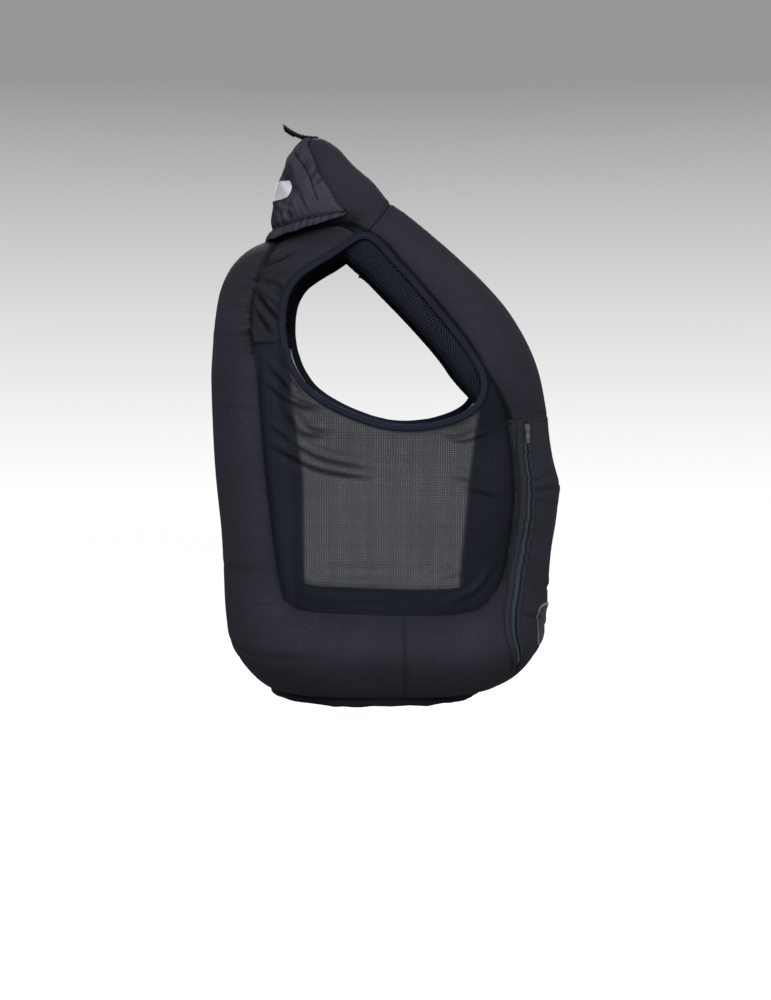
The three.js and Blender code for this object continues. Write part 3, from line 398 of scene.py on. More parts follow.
def clothMaterial(name, spec):
    mix = {"fleck": 0.55, "cloud": 0.45, "contrast": 1.7, "level": 0.35, "gap": -0.25, "roughSpread": 0.14,
           "sheenRough": 0.45}
    material, tree, shader = startMaterial(name)
    cloth = objectPlace(tree) if "follows" in spec else clothPlace(tree)
    weave = useGroup(tree, weaveGroup, cloth, {"Pitch": spec["pitch"], "Slub": spec["slub"]})
    dye = useGroup(tree, melangeGroup, cloth, {"Fleck": spec["fleck"], "Cloud": spec["cloud"]})
    share = mathNode(tree, "ADD", mathNode(tree, "MULTIPLY", dye["Fleck"], mix["fleck"]),
                     mathNode(tree, "MULTIPLY", dye["Cloud"], mix["cloud"]))
    share = mathNode(tree, "SUBTRACT", mathNode(tree, "MULTIPLY", share, mix["contrast"]), mix["level"], clamp=True)
    thread = mathNode(tree, "MULTIPLY_ADD", weave["Gap"], mix["gap"], share, clamp=True)
    rough = spec["rough"] - mix["roughSpread"] / 2
    setInputs(tree, shader, {
        "Base Color": withPaintedShade(tree, colourMix(tree, thread, spec["dark"], spec["light"]), spec["dark"]),
        "Roughness": mathNode(tree, "MULTIPLY_ADD", dye["Cloud"], mix["roughSpread"], rough),
        "Specular IOR Level": spec["gloss"], "Sheen Weight": spec["sheen"], "Sheen Roughness": mix["sheenRough"],
        "Sheen Tint": (*spec["sheenTint"], 1), "Normal": bumpNormal(tree, weave["Height"], spec["relief"])})
    return material


clothSpecs = {
    "shellCloth": {"dark": (0.0161, 0.017, 0.0232), "light": (0.0345, 0.0364, 0.0494), "pitch": 0.0011, "slub": 0.5,
                   "fleck": 330.0, "cloud": 11.0, "rough": 0.72, "gloss": 0.1, "sheen": 0.03,
                   "sheenTint": (0.75, 0.78, 0.9), "relief": 0.00022},
    "pouchCloth": {"dark": (0.034, 0.0357, 0.0495), "light": (0.072, 0.0755, 0.103), "pitch": 0.0008, "slub": 0.3,
                   "fleck": 620.0, "cloud": 15.0, "rough": 0.82, "gloss": 0.03, "sheen": 0.0,
                   "sheenTint": (0.75, 0.78, 0.9), "relief": 0.00014},
    "bindingTape": {"dark": (0.0073, 0.0094, 0.0172), "light": (0.0157, 0.0203, 0.0368), "pitch": 0.0009, "slub": 0.2,
                    "fleck": 700.0, "cloud": 22.0, "rough": 0.62, "gloss": 0.1, "sheen": 0.03,
                    "sheenTint": (0.6, 0.68, 0.95), "relief": 0.00024},
    "zipTapeCloth": {"dark": (0.018, 0.028, 0.037), "light": (0.036, 0.055, 0.071), "pitch": 0.0007, "slub": 0.15,
                     "fleck": 800.0, "cloud": 25.0, "rough": 0.6, "gloss": 0.2, "sheen": 0.03,
                     "sheenTint": (0.7, 0.85, 0.9), "relief": 0.00016},
    "patchCloth": {"dark": (0.0100, 0.0100, 0.0130), "light": (0.0200, 0.0200, 0.0250), "pitch": 0.0007, "slub": 0.15,
                   "fleck": 800.0, "cloud": 30.0, "rough": 0.55, "gloss": 0.4, "sheen": 0.08,
                   "sheenTint": (0.8, 0.8, 0.9), "relief": 0.0002},
    "patchRim": {"dark": (0.17, 0.168, 0.24), "light": (0.27, 0.266, 0.37), "pitch": 0.0006, "slub": 0.1,
                 "fleck": 900.0, "cloud": 40.0, "rough": 0.45, "gloss": 0.5, "sheen": 0.1,
                 "sheenTint": (0.85, 0.85, 0.95), "relief": 0.0003},
    "paleLabel": {"dark": (0.7, 0.71, 0.76), "light": (0.84, 0.85, 0.9), "pitch": 0.0009, "slub": 0.3,
                  "fleck": 500.0, "cloud": 18.0, "rough": 0.42, "gloss": 0.5, "sheen": 0.0,
                  "sheenTint": (1.0, 1.0, 1.0), "relief": 0.00008},
    # painted shade: the floor of each honeycomb cell, darker than the knit, stands for the shade in its hollow
    "liningPitShade": {"dark": (0.0016, 0.002, 0.0036), "light": (0.0036, 0.0044, 0.0072), "pitch": 0.0006, "slub": 0.3,
                  "fleck": 900.0, "cloud": 30.0, "rough": 0.8, "gloss": 0.05, "sheen": 0.0,
                  "sheenTint": (0.6, 0.7, 1.0), "relief": 0.0001, "follows": "object"},
    "liningKnit": {"dark": (0.012, 0.0152, 0.027), "light": (0.027, 0.0335, 0.055), "pitch": 0.0007, "slub": 0.3,
                   "fleck": 700.0, "cloud": 20.0, "rough": 0.62, "gloss": 0.15, "sheen": 0.06,
                   "sheenTint": (0.6, 0.7, 1.0), "relief": 0.00015, "follows": "object"},
}
finish = {name: clothMaterial(name, spec) for name, spec in clothSpecs.items()}


def meshMaterial():
    spec = {"pitch": 0.0029, "thread": 0.45, "holeCover": 0.4, "threadCover": 0.585, "fullCover": 0.95, "fleck": 600.0,
            "cloud": 18.0, "dark": (0.0059, 0.008, 0.0132), "light": (0.0176, 0.0222, 0.033), "rough": 0.65,
            "gloss": 0.12, "relief": 0.0003}
    material, tree, shader = startMaterial("sideMesh")
    cloth = clothPlace(tree)
    knit = useGroup(tree, knitGroup, cloth, {"Pitch": spec["pitch"], "Thread": spec["thread"]})
    dye = useGroup(tree, melangeGroup, cloth, {"Fleck": spec["fleck"], "Cloud": spec["cloud"]})
    tone = mathNode(tree, "MULTIPLY_ADD", knit["Height"], 0.5, mathNode(tree, "MULTIPLY", dye["Fleck"], 0.5))
    spread = spec["holeCover"] - spec["threadCover"]
    cover = mathNode(tree, "MULTIPLY_ADD", knit["Hole"], spread, spec["threadCover"])
    # the net is closer at its hems; outside the open window and on the lower sides of its folds it is made nearly
    # opaque, which paints the shade seen through it there
    loose = mathNode(tree, "SUBTRACT", 1.0, attributeNode(tree, "dense"), clamp=True)
    clear = mathNode(tree, "MULTIPLY", mathNode(tree, "SUBTRACT", spec["fullCover"], cover), loose)
    setInputs(tree, shader, {
        "Base Color": withPaintedShade(tree, colourMix(tree, tone, spec["dark"], spec["light"]), spec["dark"]),
        "Alpha": mathNode(tree, "SUBTRACT", spec["fullCover"], clear, clamp=True), "Roughness": spec["rough"],
        "Specular IOR Level": spec["gloss"], "Normal": bumpNormal(tree, knit["Height"], spec["relief"])})
    return material


def plainMaterial(name, spec):  # hard trim and threads: slight mottling, fine scratches in the roughness
    material, tree, shader = startMaterial(name)
    dye = useGroup(tree, melangeGroup, objectPlace(tree), {"Fleck": spec["fleck"], "Cloud": spec["cloud"]})
    setInputs(tree, shader, {
        "Base Color": colourMix(tree, dye["Fleck"], spec["dark"], spec["light"]),
        "Roughness": mathNode(tree, "MULTIPLY_ADD", dye["Cloud"], spec["roughSpread"], spec["rough"]),
        "Metallic": spec["metal"], "Specular IOR Level": spec["gloss"],
        "Normal": bumpNormal(tree, dye["Fleck"], spec["relief"])})
    return material


plainSpecs = {
    "stitchThread": {"dark": (0.003, 0.0034, 0.005), "light": (0.009, 0.0095, 0.013), "fleck": 2500.0, "cloud": 60.0,
                     "rough": 0.6, "roughSpread": 0.1, "metal": 0.0, "gloss": 0.08, "relief": 0.0001},
    "zipCoil": {"dark": (0.03, 0.047, 0.06), "light": (0.056, 0.085, 0.106), "fleck": 900.0, "cloud": 40.0,
                "rough": 0.4, "roughSpread": 0.15, "metal": 0.0, "gloss": 0.3, "relief": 0.00005},
    "metal": {"dark": (0.36, 0.365, 0.38), "light": (0.78, 0.79, 0.81), "fleck": 1400.0, "cloud": 90.0,
              "rough": 0.12, "roughSpread": 0.16, "metal": 1.0, "gloss": 0.5, "relief": 0.00002},
    "hookTape": {"dark": (0.004, 0.004, 0.005), "light": (0.016, 0.016, 0.018), "fleck": 1600.0, "cloud": 200.0,
                 "rough": 0.7, "roughSpread": 0.2, "metal": 0.0, "gloss": 0.15, "relief": 0.0006},
}
finish.update({name: plainMaterial(name, spec) for name, spec in plainSpecs.items()})
finish["sideMesh"] = meshMaterial()
print("materials made", len(finish))

# Stage: a round pale cove that glows with painted light, bright low down and dim higher up behind the vest
coveSpec = {"floorUp": -0.86, "floorRadius": 3.0, "wallRadius": 4.6, "wallTop": 3.2, "whiteBelow": -0.5,
            "greyAbove": 0.85, "lowGlow": (0.92, 0.92, 0.92), "grey": (0.23, 0.23, 0.23), "paint": (0.22, 0.22, 0.22)}


def makeCove():
    spec = coveSpec
    bend = spec["wallRadius"] - spec["floorRadius"]
    profile = [(0.4, spec["floorUp"]), (spec["floorRadius"] * 0.5, spec["floorUp"])]
    for k in range(13):
        a = math.pi / 2 * k / 12
        profile.append((spec["floorRadius"] + bend * math.sin(a), spec["floorUp"] + bend * (1 - math.cos(a))))
    profile.append((spec["wallRadius"], spec["wallTop"]))
    turns = np.linspace(0, 2 * np.pi, 96, endpoint=False)
    points = np.array([[(r * math.cos(t), r * math.sin(t), z) for r, z in profile] for t in turns])
    ids = np.arange(points.shape[0] * points.shape[1]).reshape(points.shape[:2])
    after = np.roll(ids, -1, axis=0)
    faces = np.stack([ids[:, :-1], after[:, :-1], after[:, 1:], ids[:, 1:]], -1).reshape(-1, 4).tolist()
    faces.append(ids[::-1, 0].tolist())  # the middle of the floor
    material, tree, shader = startMaterial("cove")
    # painted light: the cove glows, bright low down and dimmer higher up, in place of lamplight falling off up the wall
    up = splitNode(tree, objectPlace(tree))[2]
    limits = {"Value": up, "From Min": spec["whiteBelow"], "From Max": spec["greyAbove"]}
    height = addNode(tree, "ShaderNodeMapRange", limits).outputs[0]
    setInputs(tree, shader, {
        "Emission Color": colourMix(tree, height, spec["lowGlow"], spec["grey"]), "Emission Strength": 1.0,
        "Base Color": (*spec["paint"], 1), "Roughness": 0.9, "Specular IOR Level": 0.1})
    mesh = bpy.data.meshes.new("cove")
    mesh.from_pydata(points.reshape(-1, 3).tolist(), [], faces)
    mesh.flip_normals()
    mesh.polygons.foreach_set("use_smooth", np.ones(len(mesh.polygons), dtype=bool))
    mesh.materials.append(material)
    cove = linked("cove", mesh)
    cove.visible_diffuse = False  # the lamps alone light the vest
    cove.visible_glossy = False


makeCove()
lightSpecs = {
    "rightSide": {"at": (-3.1, -0.1, 0.75), "aim": (0, 0, -0.3), "size": 1.9, "watts": 88.0},
    "leftSide": {"at": (3.1, 0.1, 0.9), "aim": (0, 0, -0.3), "size": 1.9, "watts": 62.0},
    "front": {"at": (-0.7, -3.1, 0.7), "aim": (0, 0, -0.3), "size": 1.9, "watts": 18.0},
    "back": {"at": (-0.7, 3.1, 0.7), "aim": (0, 0, -0.3), "size": 1.9, "watts": 13.0},
    "top": {"at": (-0.4, 0, 3.0), "aim": (0, 0, 0), "size": 2.6, "watts": 18.0},
}
for lightName, spec in lightSpecs.items():
    data = bpy.data.lights.new(lightName, "AREA")
    data.shape = "DISK"
    data.size = spec["size"]
    data.energy = spec["watts"]
    aimed(linked(lightName, data), spec, "at")
world = bpy.data.worlds.new("studio")
world.use_nodes = True
world.node_tree.nodes["Background"].inputs[0].default_value = (1, 1, 1, 1)
world.node_tree.nodes["Background"].inputs[1].default_value = 0.15
scene.world = world
print("stage made")

# Middle surface of the body and the swell of the pads over it
sizes = {"gap": 0.3, "overlap": 0.15, "seamHalf": 1.5, "bindingWidth": 8.5, "bindingHalf": 2.0, "chestInset": 3.0,
         "turnLength": 165.0, "clothTurn": 190.0, "sectionStep": 27.0, "hemUp": -556.0, "cornerUp": -443.0,
         "backCornerUp": -440.0, "chestSeamUp": -228.0, "yokeLowUp": -139.0, "backTopUp": -9.0, "backShoulderUp": -40.0,
         "sideSeam": 38.0, "closureHalf": 6.0, "axis": 15.0}
bodyShape = {"up": [-563, -510, -456, -390, -312, -228, -120, -60, -9],
             "halfWidth": [158, 162, 160, 159, 158, 157, 152, 144, 134],
             "front": [132, 158, 166, 173, 180, 171, 165, 160, 155],
             "back": [-124, -130, -136, -141, -147, -151, -150, -140, -116],
             "frontSquare": [2.2, 2.8, 3.7, 4, 4, 4, 4, 4, 4],
             "backSquare": [2.2, 3, 4.2, 5, 5, 5, 5, 5, 5]}
frontSwell = {"up": [-563, -484, -398, -345, -312, -280, -228], "lift": [46, 47, 44, 46, 47, 42, 42]}
backSwell = {"up": [-563, -455, -402, -350, -262, -140, -9], "lift": [42, 39, 35, 34, 37, 40, 40]}
swell = {"sideLift": 52.0, "sideDepth": 22.0, "frontDepth": 28.0, "backDepth": 24.0, "tubeHalf": 52.0,
         "backEdge": 62.0, "topEdge": 75.0, "hemEdge": 74.0, "edgeRound": 1.6, "hemRound": 1.45}
frontSeam = {"up": [-443, -423, -391, -345, -312, -228, -204, -181],
             "forward": [137, 154, 163, 169, 171.5, 163, 155, 142]}
bottomSeam = {"forward": [-101.6, -92, -75, -48, 34, 80, 112, 128, 137],
              "up": [-440, -448, -453, -455, -458, -458, -455.5, -450, -443]}
backSeam = {"up": [-440, -417, -323, -264, -194, -157, -139, -118, -72, -40],
            "forward": [-101.6, -107.6, -119.8, -126, -131.4, -134.2, -139, -142, -139, -127.6]}
bodyAt = {key: column(bodyShape["up"], bodyShape[key]) for key in bodyShape if key != "up"}
frontLiftAt = column(frontSwell["up"], frontSwell["lift"])
backLiftAt = column(backSwell["up"], backSwell["lift"])
frontSeamAt = column(frontSeam["up"], frontSeam["forward"])
bottomSeamAt = column(bottomSeam["forward"], bottomSeam["up"])
backSeamAt = column(backSeam["up"], backSeam["forward"])


def bodyPoint(turn, up):  # turn 0 is the front, a quarter turn the right side, half a turn the back
    turn, up = np.broadcast_arrays(np.asarray(turn, float), np.asarray(up, float))
    isFront = np.cos(turn) > 0
    reach = np.where(isFront, bodyAt["front"](up) - sizes["axis"], sizes["axis"] - bodyAt["back"](up))
    power = np.where(isFront, bodyAt["frontSquare"](up), bodyAt["backSquare"](up))
    sidePart = (np.abs(np.sin(turn)) / bodyAt["halfWidth"](up)) ** power
    depthPart = (np.abs(np.cos(turn)) / reach) ** power
    radius = (sidePart + depthPart) ** (-1 / power)
    return rightPoint(radius * np.sin(turn), sizes["axis"] + radius * np.cos(turn), up)


def bodyNormal(turn, up):
    around = bodyPoint(turn + 0.01, up) - bodyPoint(turn - 0.01, up)
    along = bodyPoint(turn, up + 2) - bodyPoint(turn, up - 2)
    return unit(np.cross(along, around))


def turnAt(forward, up):  # turn on the wearer's right with this forward place
    forward, up = np.broadcast_arrays(np.asarray(forward, float), np.asarray(up, float))
    low, high = np.zeros(forward.shape), np.full(forward.shape, np.pi)
    for _ in range(36):
        middle = (low + high) / 2
        isBefore = -bodyPoint(middle, up)[..., 1] > forward
        low, high = np.where(isBefore, middle, low), np.where(isBefore, high, middle)
    return (low + high) / 2


def onBody(forward, up):
    return bodyPoint(turnAt(forward, up), up)


def closureTurn(up):
    return np.arctan2(sizes["closureHalf"], bodyAt["front"](up) - sizes["axis"])


def backTopAt(across):
    return blend(sizes["backTopUp"], sizes["backShoulderUp"], np.maximum(1 - across, 0) ** 2.5)


def backTopPoint(across):
    seamTurn = turnAt(backSeamAt(sizes["backShoulderUp"]), sizes["backShoulderUp"])
    return bodyPoint(blend(seamTurn, np.pi, eased(across)), backTopAt(across))


def backSeamPoint(share):
    up = blend(sizes["backCornerUp"], sizes["backShoulderUp"], share)
    return onBody(backSeamAt(up), up)


def bottomSeamPoint(share):
    forward = blend(bottomSeam["forward"][0], bottomSeam["forward"][-1], share)
    return onBody(forward, bottomSeamAt(forward))


def frontSeamPoint(share):
    up = blend(sizes["cornerUp"], frontSeam["up"][-1], share)
    return onBody(frontSeamAt(up), up)


windowLine = np.concatenate([backSeamPoint(1 - np.linspace(0, 1, 25)), bottomSeamPoint(np.linspace(0, 1, 25)),
                             frontSeamPoint(np.linspace(0, 1, 21))])
backTopLine = backTopPoint(np.linspace(0, 1, 13))


def roundedEdge(distance, width, roundness):
    left = 1 - np.clip(distance / width, 0, 1)
    return (1 - left ** roundness) ** (1 / roundness)


padCreases = {  # pressed into the pads: middle height, slope, first and last turn, depth and width
    "waistFront": (-312, -6, 0.3, 0.66, 2.0, 2.4),
    "waistUpper": (-298, -12, 0.34, 0.6, 1.2, 2.4),
    "waistLower": (-326, 10, 0.32, 0.6, 1.2, 2.6),
    "lowFront": (-428, 10, 0.2, 0.55, 1.7, 3.5),
    "lowerFront": (-452, -16, 0.2, 0.6, 2.0, 4.0),
    "zipFootFront": (-474, 10, 0.2, 0.5, 1.5, 2.8),
    "zipFootLow": (-500, -6, 0.3, 0.56, 2.2, 2.8),
    "zipFootBack": (-456, 16, 0.56, 0.78, 1.6, 2.4),
    "backMiddle": (-401, 8, 2.0, 2.7, 1.0, 3.5),
    "backLow": (-492, 14, 1.9, 2.75, 1.5, 5.0),
    "backLower": (-508, 20, 2.1, 2.9, 1.0, 4.0),
    "backHigh": (-214, -10, 2.25, 2.65, 0.8, 4.0),
}


def creasesAt(turn, up):  # for each crease, how far away it is in widths, and how deep it is here
    for seed, (middle, slope, first, last, depth, width) in enumerate(padCreases.values()):
        share = (turn - first) / (last - first)
        line = middle + slope * (share - 0.5) + 2.5 * softNoise(share * 2.5, 0.5, 20 + seed)
        yield (up - line) / width, depth * np.sin(np.pi * np.clip(share, 0, 1)) ** 0.7


padRelief = {"from": 3.0, "pucker": 1.15, "puckerPitch": 4.6, "broad": 0.6, "broadPitch": 12.0, "broadReach": 22.0,
             "yokeMore": 1.6, "yokeUp": -105.0, "yokeReach": 45.0, "backFrom": -60.0, "hem": 1.3, "hemReach": 16.0,
             "uneven": 0.8, "closure": 0.8, "closureReach": 9.0, "sideGroove": 0.4, "sideTop": -440.0,
             "chestGroove": 0.5, "ridge": 2.6, "ridgeUp": -312.0, "ridgeReach": 7.0}


def sideSeamLine(turn, up, forward, width):
    return bump(forward, sizes["sideSeam"], width) * (up < padRelief["sideTop"]) * (np.abs(np.cos(turn)) < 0.6)


def padDetail(turn, up, point, distance, along):  # puckers at the seams, creases and seam grooves
    spec = padRelief
    forward, around = -point[..., 1], turn * sizes["turnLength"]
    past = np.maximum(distance - spec["from"], 0)
    atYoke = 1 + spec["yokeMore"] * bump(up, spec["yokeUp"], spec["yokeReach"]) * (forward < spec["backFrom"])
    pucker = np.exp(-past / (6 + 4 * atYoke)) * atYoke * softNoise(along / spec["puckerPitch"], distance / 40, 1)
    broad = atYoke * softNoise(along / spec["broadPitch"], distance / 50, 2)
    pucker += spec["broad"] * np.exp(-past / spec["broadReach"]) * broad
    height = spec["pucker"] * pucker * np.clip(distance / 4, 0, 1)
    fromHem = up - sizes["hemUp"]
    hem = np.exp(-fromHem / spec["hemReach"]) * np.clip(fromHem / 5, 0, 1)
    height += spec["hem"] * hem * softNoise(around / 8, up / 60, 3)
    inside = np.clip(distance / 30, 0, 1) * np.clip(fromHem / 30, 0, 1)
    height += spec["uneven"] * softNoise(around / 55, up / 62, 4) * inside
    isFront = np.cos(turn) > 0
    fromClosure = np.abs(point[..., 0]) - sizes["closureHalf"]
    front = np.exp(-np.maximum(fromClosure - spec["from"], 0) / spec["closureReach"])
    front = front * softNoise(up / 7, fromClosure / 40, 5)
    height += np.where(isFront, spec["closure"] * front * np.clip(fromClosure / 4, 0, 1), 0)
    for away, depth in creasesAt(turn, up):
        height += depth * (0.45 * np.exp(-((away - 1.9) / 1.5) ** 2) - np.exp(-away ** 2))
    height -= spec["sideGroove"] * sideSeamLine(turn, up, forward, 2.6)
    height -= spec["chestGroove"] * bump(up, sizes["chestSeamUp"], 2.4) * isFront
    ridge = np.exp(-np.abs(up - spec["ridgeUp"]) / spec["ridgeReach"])  # the tube kinks outwards at the waist
    return height + spec["ridge"] * ridge * between(turn, -0.1, 0.4, 0.2)


def padHeights(turn, up, detail):
    point = bodyPoint(turn, up)
    frontShare = np.maximum(np.cos(turn), 0) ** 2
    backShare = np.maximum(-np.cos(turn), 0) ** 2
    sideShare = np.sin(turn) ** 2
    width = blend(swell["tubeHalf"], swell["backEdge"], backShare)
    distance, along = nearestOnLine(windowLine, point)
    fill = roundedEdge(distance, width, swell["edgeRound"])
    fill = fill * roundedEdge(up - sizes["hemUp"], swell["hemEdge"], swell["hemRound"])
    front = roundedEdge(np.abs(point[..., 0]) - sizes["closureHalf"], swell["tubeHalf"], swell["edgeRound"])
    back = roundedEdge(nearestOnLine(backTopLine, point)[0], swell["topEdge"], swell["edgeRound"])
    fill = fill * np.where(frontShare > 0, front, back)
    lift = frontShare * frontLiftAt(up) + backShare * backLiftAt(up) + sideShare * swell["sideLift"]
    depth = frontShare * swell["frontDepth"] + backShare * swell["backDepth"] + sideShare * swell["sideDepth"]
    outer = sizes["seamHalf"] + lift * fill
    if detail:
        outer = outer + padDetail(turn, up, point, distance, along)
    return outer, -sizes["seamHalf"] - depth * fill


shadeSpec = {"seam": 0.68, "puckerShade": 0.75, "yoke": 0.28, "hem": 0.5, "side": 0.3, "chest": 0.2, "tube": 0.2,
             "crease": 0.2, "most": 0.92}


def padShade(turn, up):  # painted shade in the seams, in the puckers by the yoke, in the creases and at the drawn-in hem
    spec = shadeSpec
    point = bodyPoint(turn, up)
    distance, along = nearestOnLine(windowLine, point)
    forward = -point[..., 1]
    isFront = np.cos(turn) > 0
    rise = padHeights(turn, up, False)[0] - sizes["seamHalf"]
    shade = spec["seam"] * np.exp(-(rise / 2.2) ** 2)
    atYoke = between(up, -152, -50, 20) * (forward < padRelief["backFrom"])
    # painted shade: dark dashes in the puckers along the yoke's seam
    dashes = np.clip(1.7 * softNoise(along / 2.7, 0.5, 21) + 0.1, 0, 1)
    shade += spec["puckerShade"] * atYoke * dashes * np.exp(-np.maximum(distance - 1.5, 0) / 2.6)
    shade += spec["yoke"] * atYoke * np.clip(softNoise(along / 3.4, distance / 40, 22), 0, 1) * np.exp(-distance / 20)
    shade += spec["hem"] * np.exp(-(rise / 4) ** 2) * (up < sizes["hemUp"] + 6)
    shade += spec["side"] * sideSeamLine(turn, up, forward, 0.9)
    shade += spec["chest"] * bump(up, sizes["chestSeamUp"], 1.4) * isFront
    turned = np.clip((0.9 - turn) / 0.3, 0, 1) * isFront  # the tube turns from the light
    shade += spec["tube"] * between(up, -540, -400, 40) * turned
    for away, depth in creasesAt(turn, up):
        shade += spec["crease"] * depth * np.exp(-(away / 0.7) ** 2)
    return np.clip(shade, 0, spec["most"])


def padPoint(turn, up, layer="outer", extra=0.0, detail=False):
    turn, up = np.broadcast_arrays(np.asarray(turn, float), np.asarray(up, float))
    outer, inner = padHeights(turn, up, detail)
    height = (outer if layer == "outer" else inner) + extra
    return bodyPoint(turn, up) + bodyNormal(turn, up) * height[..., None]


def padNormal(turn, up):
    over = padPoint(turn + 0.01, up) - padPoint(turn - 0.01, up)
    along = padPoint(turn, up + 3) - padPoint(turn, up - 3)
    return unit(np.cross(along, over))


# Lower front tubes with their half of the waist roll
frontCount = {"roll": 40, "tube": 60, "rollRows": 62, "tubeRows": 88}


def frontPanel():
    roll, rollRows = frontCount["roll"], frontCount["rollRows"]
    columns, rows = roll + frontCount["tube"], rollRows + frontCount["tubeRows"]
    c, r = np.meshgrid(np.arange(columns + 1), np.arange(rows + 1), indexing="ij")
    across = eased(np.clip((c - roll) / frontCount["tube"], 0, 1))
    share = eased(np.clip(r / rollRows, 0, 1))
    tubeUp = blend(sizes["cornerUp"], sizes["chestSeamUp"] - sizes["gap"] / 2,
                   np.clip((r - rollRows) / frontCount["tubeRows"], 0, 1))
    cornerTurn = turnAt(frontSeamAt(sizes["cornerUp"]), sizes["cornerUp"])
    forward = blend(sizes["sideSeam"], frontSeamAt(sizes["cornerUp"]), 1 - (1 - np.clip(c / roll, 0, 1)) ** 2)
    top = bottomSeamAt(forward)
    rollTurn = turnAt(forward, top) + (c == 0) * sizes["overlap"] / sizes["turnLength"]
    lowUp = blend(sizes["hemUp"], sizes["cornerUp"], share)
    up = np.where(c < roll, blend(sizes["hemUp"], top, share), np.where(r >= rollRows, tubeUp, lowUp))
    tubeTurn = blend(turnAt(frontSeamAt(tubeUp), tubeUp), closureTurn(tubeUp), across)
    lowTurn = blend(cornerTurn, closureTurn(lowUp), across)
    turn = np.where(c < roll, rollTurn, np.where(r >= rollRows, tubeTurn, lowTurn))
    present = (np.arange(columns)[:, None] >= roll) | (np.arange(rows)[None] < rollRows)
    uv = np.stack([turn * sizes["clothTurn"], up], -1)
    outer = padPoint(turn, up, "outer", 0, True)
    return gridWall("frontPanelRight", outer, padPoint(turn, up, "inner"), uv, finish["shellCloth"],
                    padShade(turn, up), present)


# Back pad with the waist roll round to both side seams
backCount = {"roll": 48, "pad": 60, "rollRows": 54, "padRows": 128}


def backPanel():
    roll, pad, rollRows = backCount["roll"], backCount["pad"], backCount["rollRows"]
    half, rows = roll + pad, rollRows + backCount["padRows"]
    c, r = np.meshgrid(np.arange(half + 1), np.arange(rows + 1), indexing="ij")
    across = np.clip((c - roll) / pad, 0, 1)
    along = np.clip((r - rollRows) / backCount["padRows"], 0, 1)
    seamUp = blend(sizes["backCornerUp"], sizes["backShoulderUp"], along)
    padTurn = blend(turnAt(backSeamAt(seamUp), seamUp), np.pi, eased(across))
    padUp = blend(sizes["backCornerUp"], backTopAt(across), along)
    share = eased(np.clip(r / rollRows, 0, 1))
    forward = blend(sizes["sideSeam"], bottomSeam["forward"][0], 1 - (1 - np.clip(c / roll, 0, 1)) ** 2)
    top = bottomSeamAt(forward)
    rollTurn = turnAt(forward, top) - (c == 0) * sizes["overlap"] / sizes["turnLength"]
    cornerTurn = turnAt(bottomSeam["forward"][0], sizes["backCornerUp"])
    isPad = (r >= rollRows) & (c >= roll)
    lowUp = np.where(c < roll, blend(sizes["hemUp"], top, share), blend(sizes["hemUp"], sizes["backCornerUp"], share))
    lowTurn = np.where(c < roll, rollTurn, blend(cornerTurn, np.pi, eased(across)))
    turn, up = np.where(isPad, padTurn, lowTurn), np.where(isPad, padUp, lowUp)
    layers = []
    for layer in ("outer", "inner"):
        side = padPoint(turn, up, layer, 0, layer == "outer")
        layers.append(np.concatenate([side, mirrored(side[-2::-1])]))
    uv = np.stack([turn * sizes["clothTurn"], up], -1)
    far = np.stack([(2 * np.pi - turn) * sizes["clothTurn"], up], -1)
    uv = np.concatenate([uv, far[-2::-1]])
    cells = np.arange(2 * half)
    present = ((cells >= roll) & (cells < 2 * half - roll))[:, None] | (np.arange(rows)[None] < rollRows)
    shade = padShade(turn, up)
    shade = np.concatenate([shade, shade[-2::-1]])
    return gridWall("backPanel", layers[0], layers[1], uv, finish["shellCloth"], shade, present)


pieces = {}
pieces["frontPanelRight"] = frontPanel()
addLeft("frontPanel")
pieces["backPanel"] = backPanel()
print("lower pads made")

# Armhole edge
armhole = {"forward": [-5, 34, 93, 125, 133, 120, 81, 25, -36, -80, -101, -104, -88, -43],
           "up": [-11, -47, -115, -161, -190, -216, -233, -236, -217, -186, -145, -95, -60, -30],
           "side": [132, 128, 126, 129.5, 135, 142, 150, 154, 153, 148, 139, 133, 131, 132]}
armholePoints = rightPoint(armhole["side"], armhole["forward"], armhole["up"])
armholeMiddle = rightPoint(0, 15, -135)
armholeCount = len(armholePoints)


def armholeFrame(place):
    place = np.asarray(place, float) % armholeCount
    centre = splinePoint(armholePoints, place, True)
    step = 0.002 * armholeCount
    after, before = (splinePoint(armholePoints, (place + way) % armholeCount, True) for way in (step, -step))
    along = after - before
    away = unit(np.stack([np.zeros(place.shape), along[..., 2], -along[..., 1]], -1))
    rel = centre - armholeMiddle
    away = away * np.where((away * rel * np.array([0, 1, 1])).sum(-1) < 0, -1, 1)[..., None]
    return centre, away, unit(np.cross(away, along)), unit(along)


def armholeEdge(place, clearance=0.3):
    centre, away = armholeFrame(place)[:2]
    return centre + away * (sizes["bindingWidth"] / 2 + clearance)


# Upper tube: chest columns, shoulder seams and collar
chestSections = {"onArmhole": [3.25, 2.6, 2, 1.5, 1, 0.5, 0], "side": [20, 36, 46, 54, 59, 62, 62],
                 "forward": [168, 145, 118, 86, 52, 24, 2], "up": [-152, -108, -76, -46, -19, -1, 10],
                 "lift": [36, 33, 32, 31, 30, 31, 34], "depth": [30, 31, 30, 27, 23, 20, 18],
                 "bow": [6, 7, 7, 6, 5, 3, 2]}
lowChest = {"seamUp": -203, "side": 12, "forward": 171, "up": -190, "lift": 39, "depth": 29, "bow": 5}
collarSections = {"baseSide": [122, 102, 72, 38, 0], "baseForward": [-29, -60, -88, -104, -110],
                  "baseUp": [3, 2, -2, -4, -4], "side": [66, 64, 50, 28, 0], "forward": [-11, -31, -50, -63, -70],
                  "up": [48, 88, 107, 114, 116], "lift": [35, 29, 23, 20, 19], "depth": [19, 24, 27, 29, 30]}


